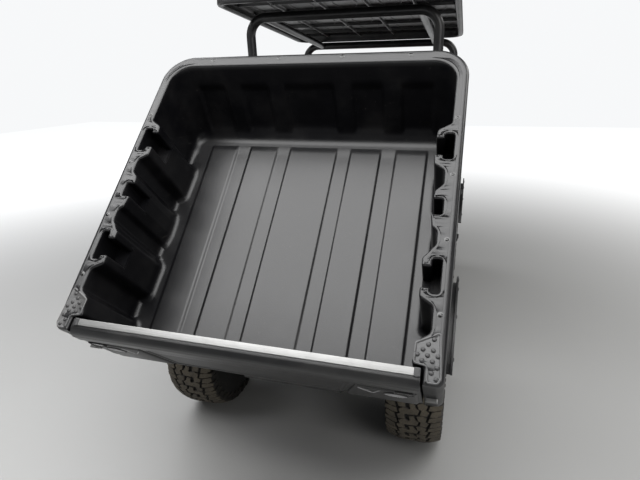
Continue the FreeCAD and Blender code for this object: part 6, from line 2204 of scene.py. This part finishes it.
@dataclass
class TailLamps:
    """Two tail lamps on the frame's rear bar: a black tray, a stepped red lens and its ribs, in mm."""

    rear: float = -420.3
    middle: tuple[float, float] = (350.0, 665.0)

    def build(self) -> bpy.types.Object:
        """Build both lamps in place of the plain blocks."""
        parts = MeshParts()
        for side in (1.0, -1.0):
            back = plane((side * self.middle[0], self.rear, self.middle[1]), ACROSS, UP)
            parts.plate(rectangle(-50.0, 50.0, -25.0, 25.0, 6.0, 4.0),
                        [(0.0, -18.0), (0.0, -6.0), (1.0, -4.4), (3.0, -4.0), (4.0, -6.0), (5.0, -9.0)], back,
                        slot=1)
            parts.plate(rectangle(-45.0, 45.0, -20.0, 20.0, 5.0, 4.0),
                        [(0.0, -9.0), (0.0, -3.0), (1.4, -1.0), (5.0, 0.0)], back)
            for k in range(5):
                u = -30.0 + k * 15.0
                parts.plate(rectangle(u - 2.0, u + 2.0, -14.0, 14.0, 1.9, 4.0), [(0.0, -0.6), (0.6, 0.5)],
                            back, slot=1)
        return ride_on(parts.build("tail_lamp_units", LENS_RED, TRIM_PLASTIC), "chassis", LENS_RED,
                       "tail_lamps")


@dataclass
class BedUnderside:
    """Bolts and stiffening ribs under the tipped bed, in the lowered bed's mm."""

    def build(self) -> bpy.types.Object:
        """Build the underside's details; they ride with the bed."""
        parts = MeshParts()
        spots = [(s * 250.0, v, 846.0) for s in (1, -1) for v in (70.0, 240.0, 470.0, 700.0, 970.0)]
        parts.turned(BOLT_HEAD, 6, [BED.matrix(s, (0, 0, -1)) for s in spots], slot=1)
        down = plane((0.0, 0.0, 900.6), (-1.0, 0.0, 0.0), AHEAD, BED.lift)
        for u in (-430.0, -340.0, 340.0, 430.0):
            for v0, v1 in ((112.0, 448.0), (512.0, 948.0)):
                parts.plate(rectangle(u - 7.0, u + 7.0, v0, v1, 6.9, 10.0),
                            [(-3.0, -0.8), (0.0, 3.0), (2.0, 8.0)], down)
        return ride_on(parts.build("bed_underside", TRIM_PLASTIC, BOLT_ZINC), "bed", TRIM_PLASTIC)


# stage, lights and camera

@dataclass
class Stage:
    """Pale floor, soft lamps, and a camera at the photograph's place."""

    lens: float = 27.14
    eye_mm: tuple[float, float, float] = (641.0, -2006.0, 1629.0)
    right: tuple[float, float, float] = (0.9594, 0.2831, -0.0170)
    back: tuple[float, float, float] = (0.2713, -0.9062, 0.3221)

    def camera(self) -> None:
        """Set the camera where the photograph was taken from: its axes are right, up and back."""
        data = bpy.data.cameras.new("photograph")
        data.sensor_fit = "HORIZONTAL"
        data.sensor_width = 36.0
        data.lens = self.lens
        data.clip_start = 0.05
        data.clip_end = 200.0
        item = bpy.data.objects.new("photograph", data)
        back = Vector(self.back).normalized()
        right = (Vector(self.right) - back * back.dot(Vector(self.right))).normalized()
        up = back.cross(right)
        eye = Vector(self.eye_mm) * 0.001 + Vector((0.0, AXLE_Y, 0.0))
        turn = Matrix((right, up, back)).transposed().to_4x4()
        item.matrix_world = Matrix.Translation(eye) @ turn
        bpy.context.scene.collection.objects.link(item)
        bpy.context.scene.camera = item

    def lamp(self, name: str, where: tuple[float, float, float], size: tuple[float, float], watts: float,
             colour: Colour = (1.0, 1.0, 1.0), target: tuple[float, float, float] = (0.0, 0.0, 0.8)) -> None:
        """Add one area lamp aimed at a target."""
        data = bpy.data.lights.new(name, "AREA")
        data.shape = "RECTANGLE"
        data.size, data.size_y = size
        data.energy = watts
        data.color = colour
        item = bpy.data.objects.new(name, data)
        aim = (Vector(target) - Vector(where)).to_track_quat("-Z", "Y")
        item.matrix_world = Matrix.Translation(Vector(where)) @ aim.to_matrix().to_4x4()
        bpy.context.scene.collection.objects.link(item)

    def world(self) -> None:
        """White world for the camera and through clear lenses, dim for the rest."""
        world = bpy.data.worlds.new("studio")
        bpy.context.scene.world = world
        world.use_nodes = True
        tree = world.node_tree
        tree.nodes.clear()
        path = tree.nodes.new("ShaderNodeLightPath")
        seen = tree.nodes.new("ShaderNodeMath")
        seen.operation = "MAXIMUM"
        tree.links.new(path.outputs["Is Camera Ray"], seen.inputs[0])
        tree.links.new(path.outputs["Is Transmission Ray"], seen.inputs[1])
        strength = tree.nodes.new("ShaderNodeMapRange")
        strength.inputs["To Min"].default_value = 0.11
        strength.inputs["To Max"].default_value = 1.0
        tree.links.new(seen.outputs[0], strength.inputs["Value"])
        ground = tree.nodes.new("ShaderNodeBackground")
        ground.inputs["Color"].default_value = (0.93, 0.94, 0.95, 1.0)
        tree.links.new(strength.outputs["Result"], ground.inputs["Strength"])
        out = tree.nodes.new("ShaderNodeOutputWorld")
        tree.links.new(ground.outputs[0], out.inputs["Surface"])

    def floor(self) -> None:
        """Lay the pale floor at height 0."""
        parts = MeshParts()
        span = np.linspace(-14.0, 14.0, 3)
        x, y = np.meshgrid(span, span)
        parts.grid(np.stack([x, y, np.zeros_like(x)], axis=-1))
        item = parts.build("pale_floor", StageFloor("pale_floor", (0.34, 0.34, 0.336), 0.6))

    def build(self) -> None:
        """Build the whole stage."""
        self.floor()
        self.world()
        self.lamp("overhead", (-0.7, -1.9, 3.2), (4.6, 2.8), 236.0, target=(-0.7, -1.9001, 0.0))
        self.lamp("hall_left", (-5.5, 4.5, 5.0), (5.0, 5.0), 320.0, (0.97, 0.98, 1.0), (-5.5, 4.5001, 0.0))
        self.lamp("hall_right", (5.5, 3.5, 5.0), (5.0, 5.0), 320.0, (1.0, 0.99, 0.97), (5.5, 3.5001, 0.0))
        self.lamp("rear_right", (3.4, -3.6, 2.8), (2.2, 2.0), 60.0, (1.0, 0.99, 0.97))
        self.camera()


NODE_FINISHES: dict[str, Finish] = {
    "chassis_frame": FRAME_STEEL, "floor_pan": CAB_PLASTIC, "skid_plate": CAB_PLASTIC, "cage": CAGE_BLACK,
    "roof": ROOF_PLASTIC, "seat_pedestal": CAB_PLASTIC, "seats": SEAT_VINYL, "dash": CAB_PLASTIC,
    "steering_column": FRAME_STEEL, "hood": BODY_PAINT, "front_fascia": TRIM_PLASTIC, "headlamps": LENS_CLEAR,
    "front_bumper": CAGE_BLACK, "fenders": TRIM_PLASTIC, "rockers": TRIM_PLASTIC, "controls": CAB_PLASTIC,
    "tail_lamps": LENS_RED, "engine": CAST_GREY, "exhaust": PIPE_STEEL,
    "drivetrain": CAST_GREY, "suspension_arms": FRAME_STEEL, "rear_hubs": CAST_GREY, "shocks": STRUT_BLACK,
    "half_shafts": SHAFT_STEEL, "steering_wheel": BOOT_RUBBER, "tie_rods": SHAFT_STEEL,
    "knuckle_left": CAST_GREY, "knuckle_right": CAST_GREY, "bed_tub": BED_PLASTIC, "bed_pads": PAD_PLASTIC,
    "bed_frame": FRAME_STEEL, "tailgate_panel": BED_PLASTIC, "tailgate_strip": EDGE_ALUMINIUM,
    "tailgate_lamps": LENS_DARK, "strut_tube": STRUT_BLACK, "strut_rod": ROD_CHROME,
    "door_left": TRIM_PLASTIC, "door_right": TRIM_PLASTIC,
}


def dress_nodes() -> None:
    """Give every CAD node its finish."""
    for name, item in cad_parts.items():
        finish = NODE_FINISHES.get(name)
        if finish is None:
            finish = WHEEL_ALLOY if name.startswith("rim_") else TREAD_RUBBER
        item.data.materials.clear()
        item.data.materials.append(finish.material())


def main() -> None:
    """Build every sub-assembly in order."""
    logging.basicConfig(level=logging.INFO, format="%(name)s: %(message)s")
    bpy.context.scene.view_settings.view_transform = "Standard"
    dress_nodes()
    Stage().build()
    BedTub().build()
    RimTrim().build()
    for assembly in (Seats(), Tailgate(), Roof(), SteeringWheel(), CabDetails(), RunningGear(), FrontBody(),
                     SideTrim(), TailLamps(), BedUnderside()):
        assembly.build()
    for corner in ("front_left", "front_right", "rear_left", "rear_right"):
        wheel = Wheel(corner)
        wheel.tyre()
        wheel.trim()


if __name__ == "__main__":
    main()
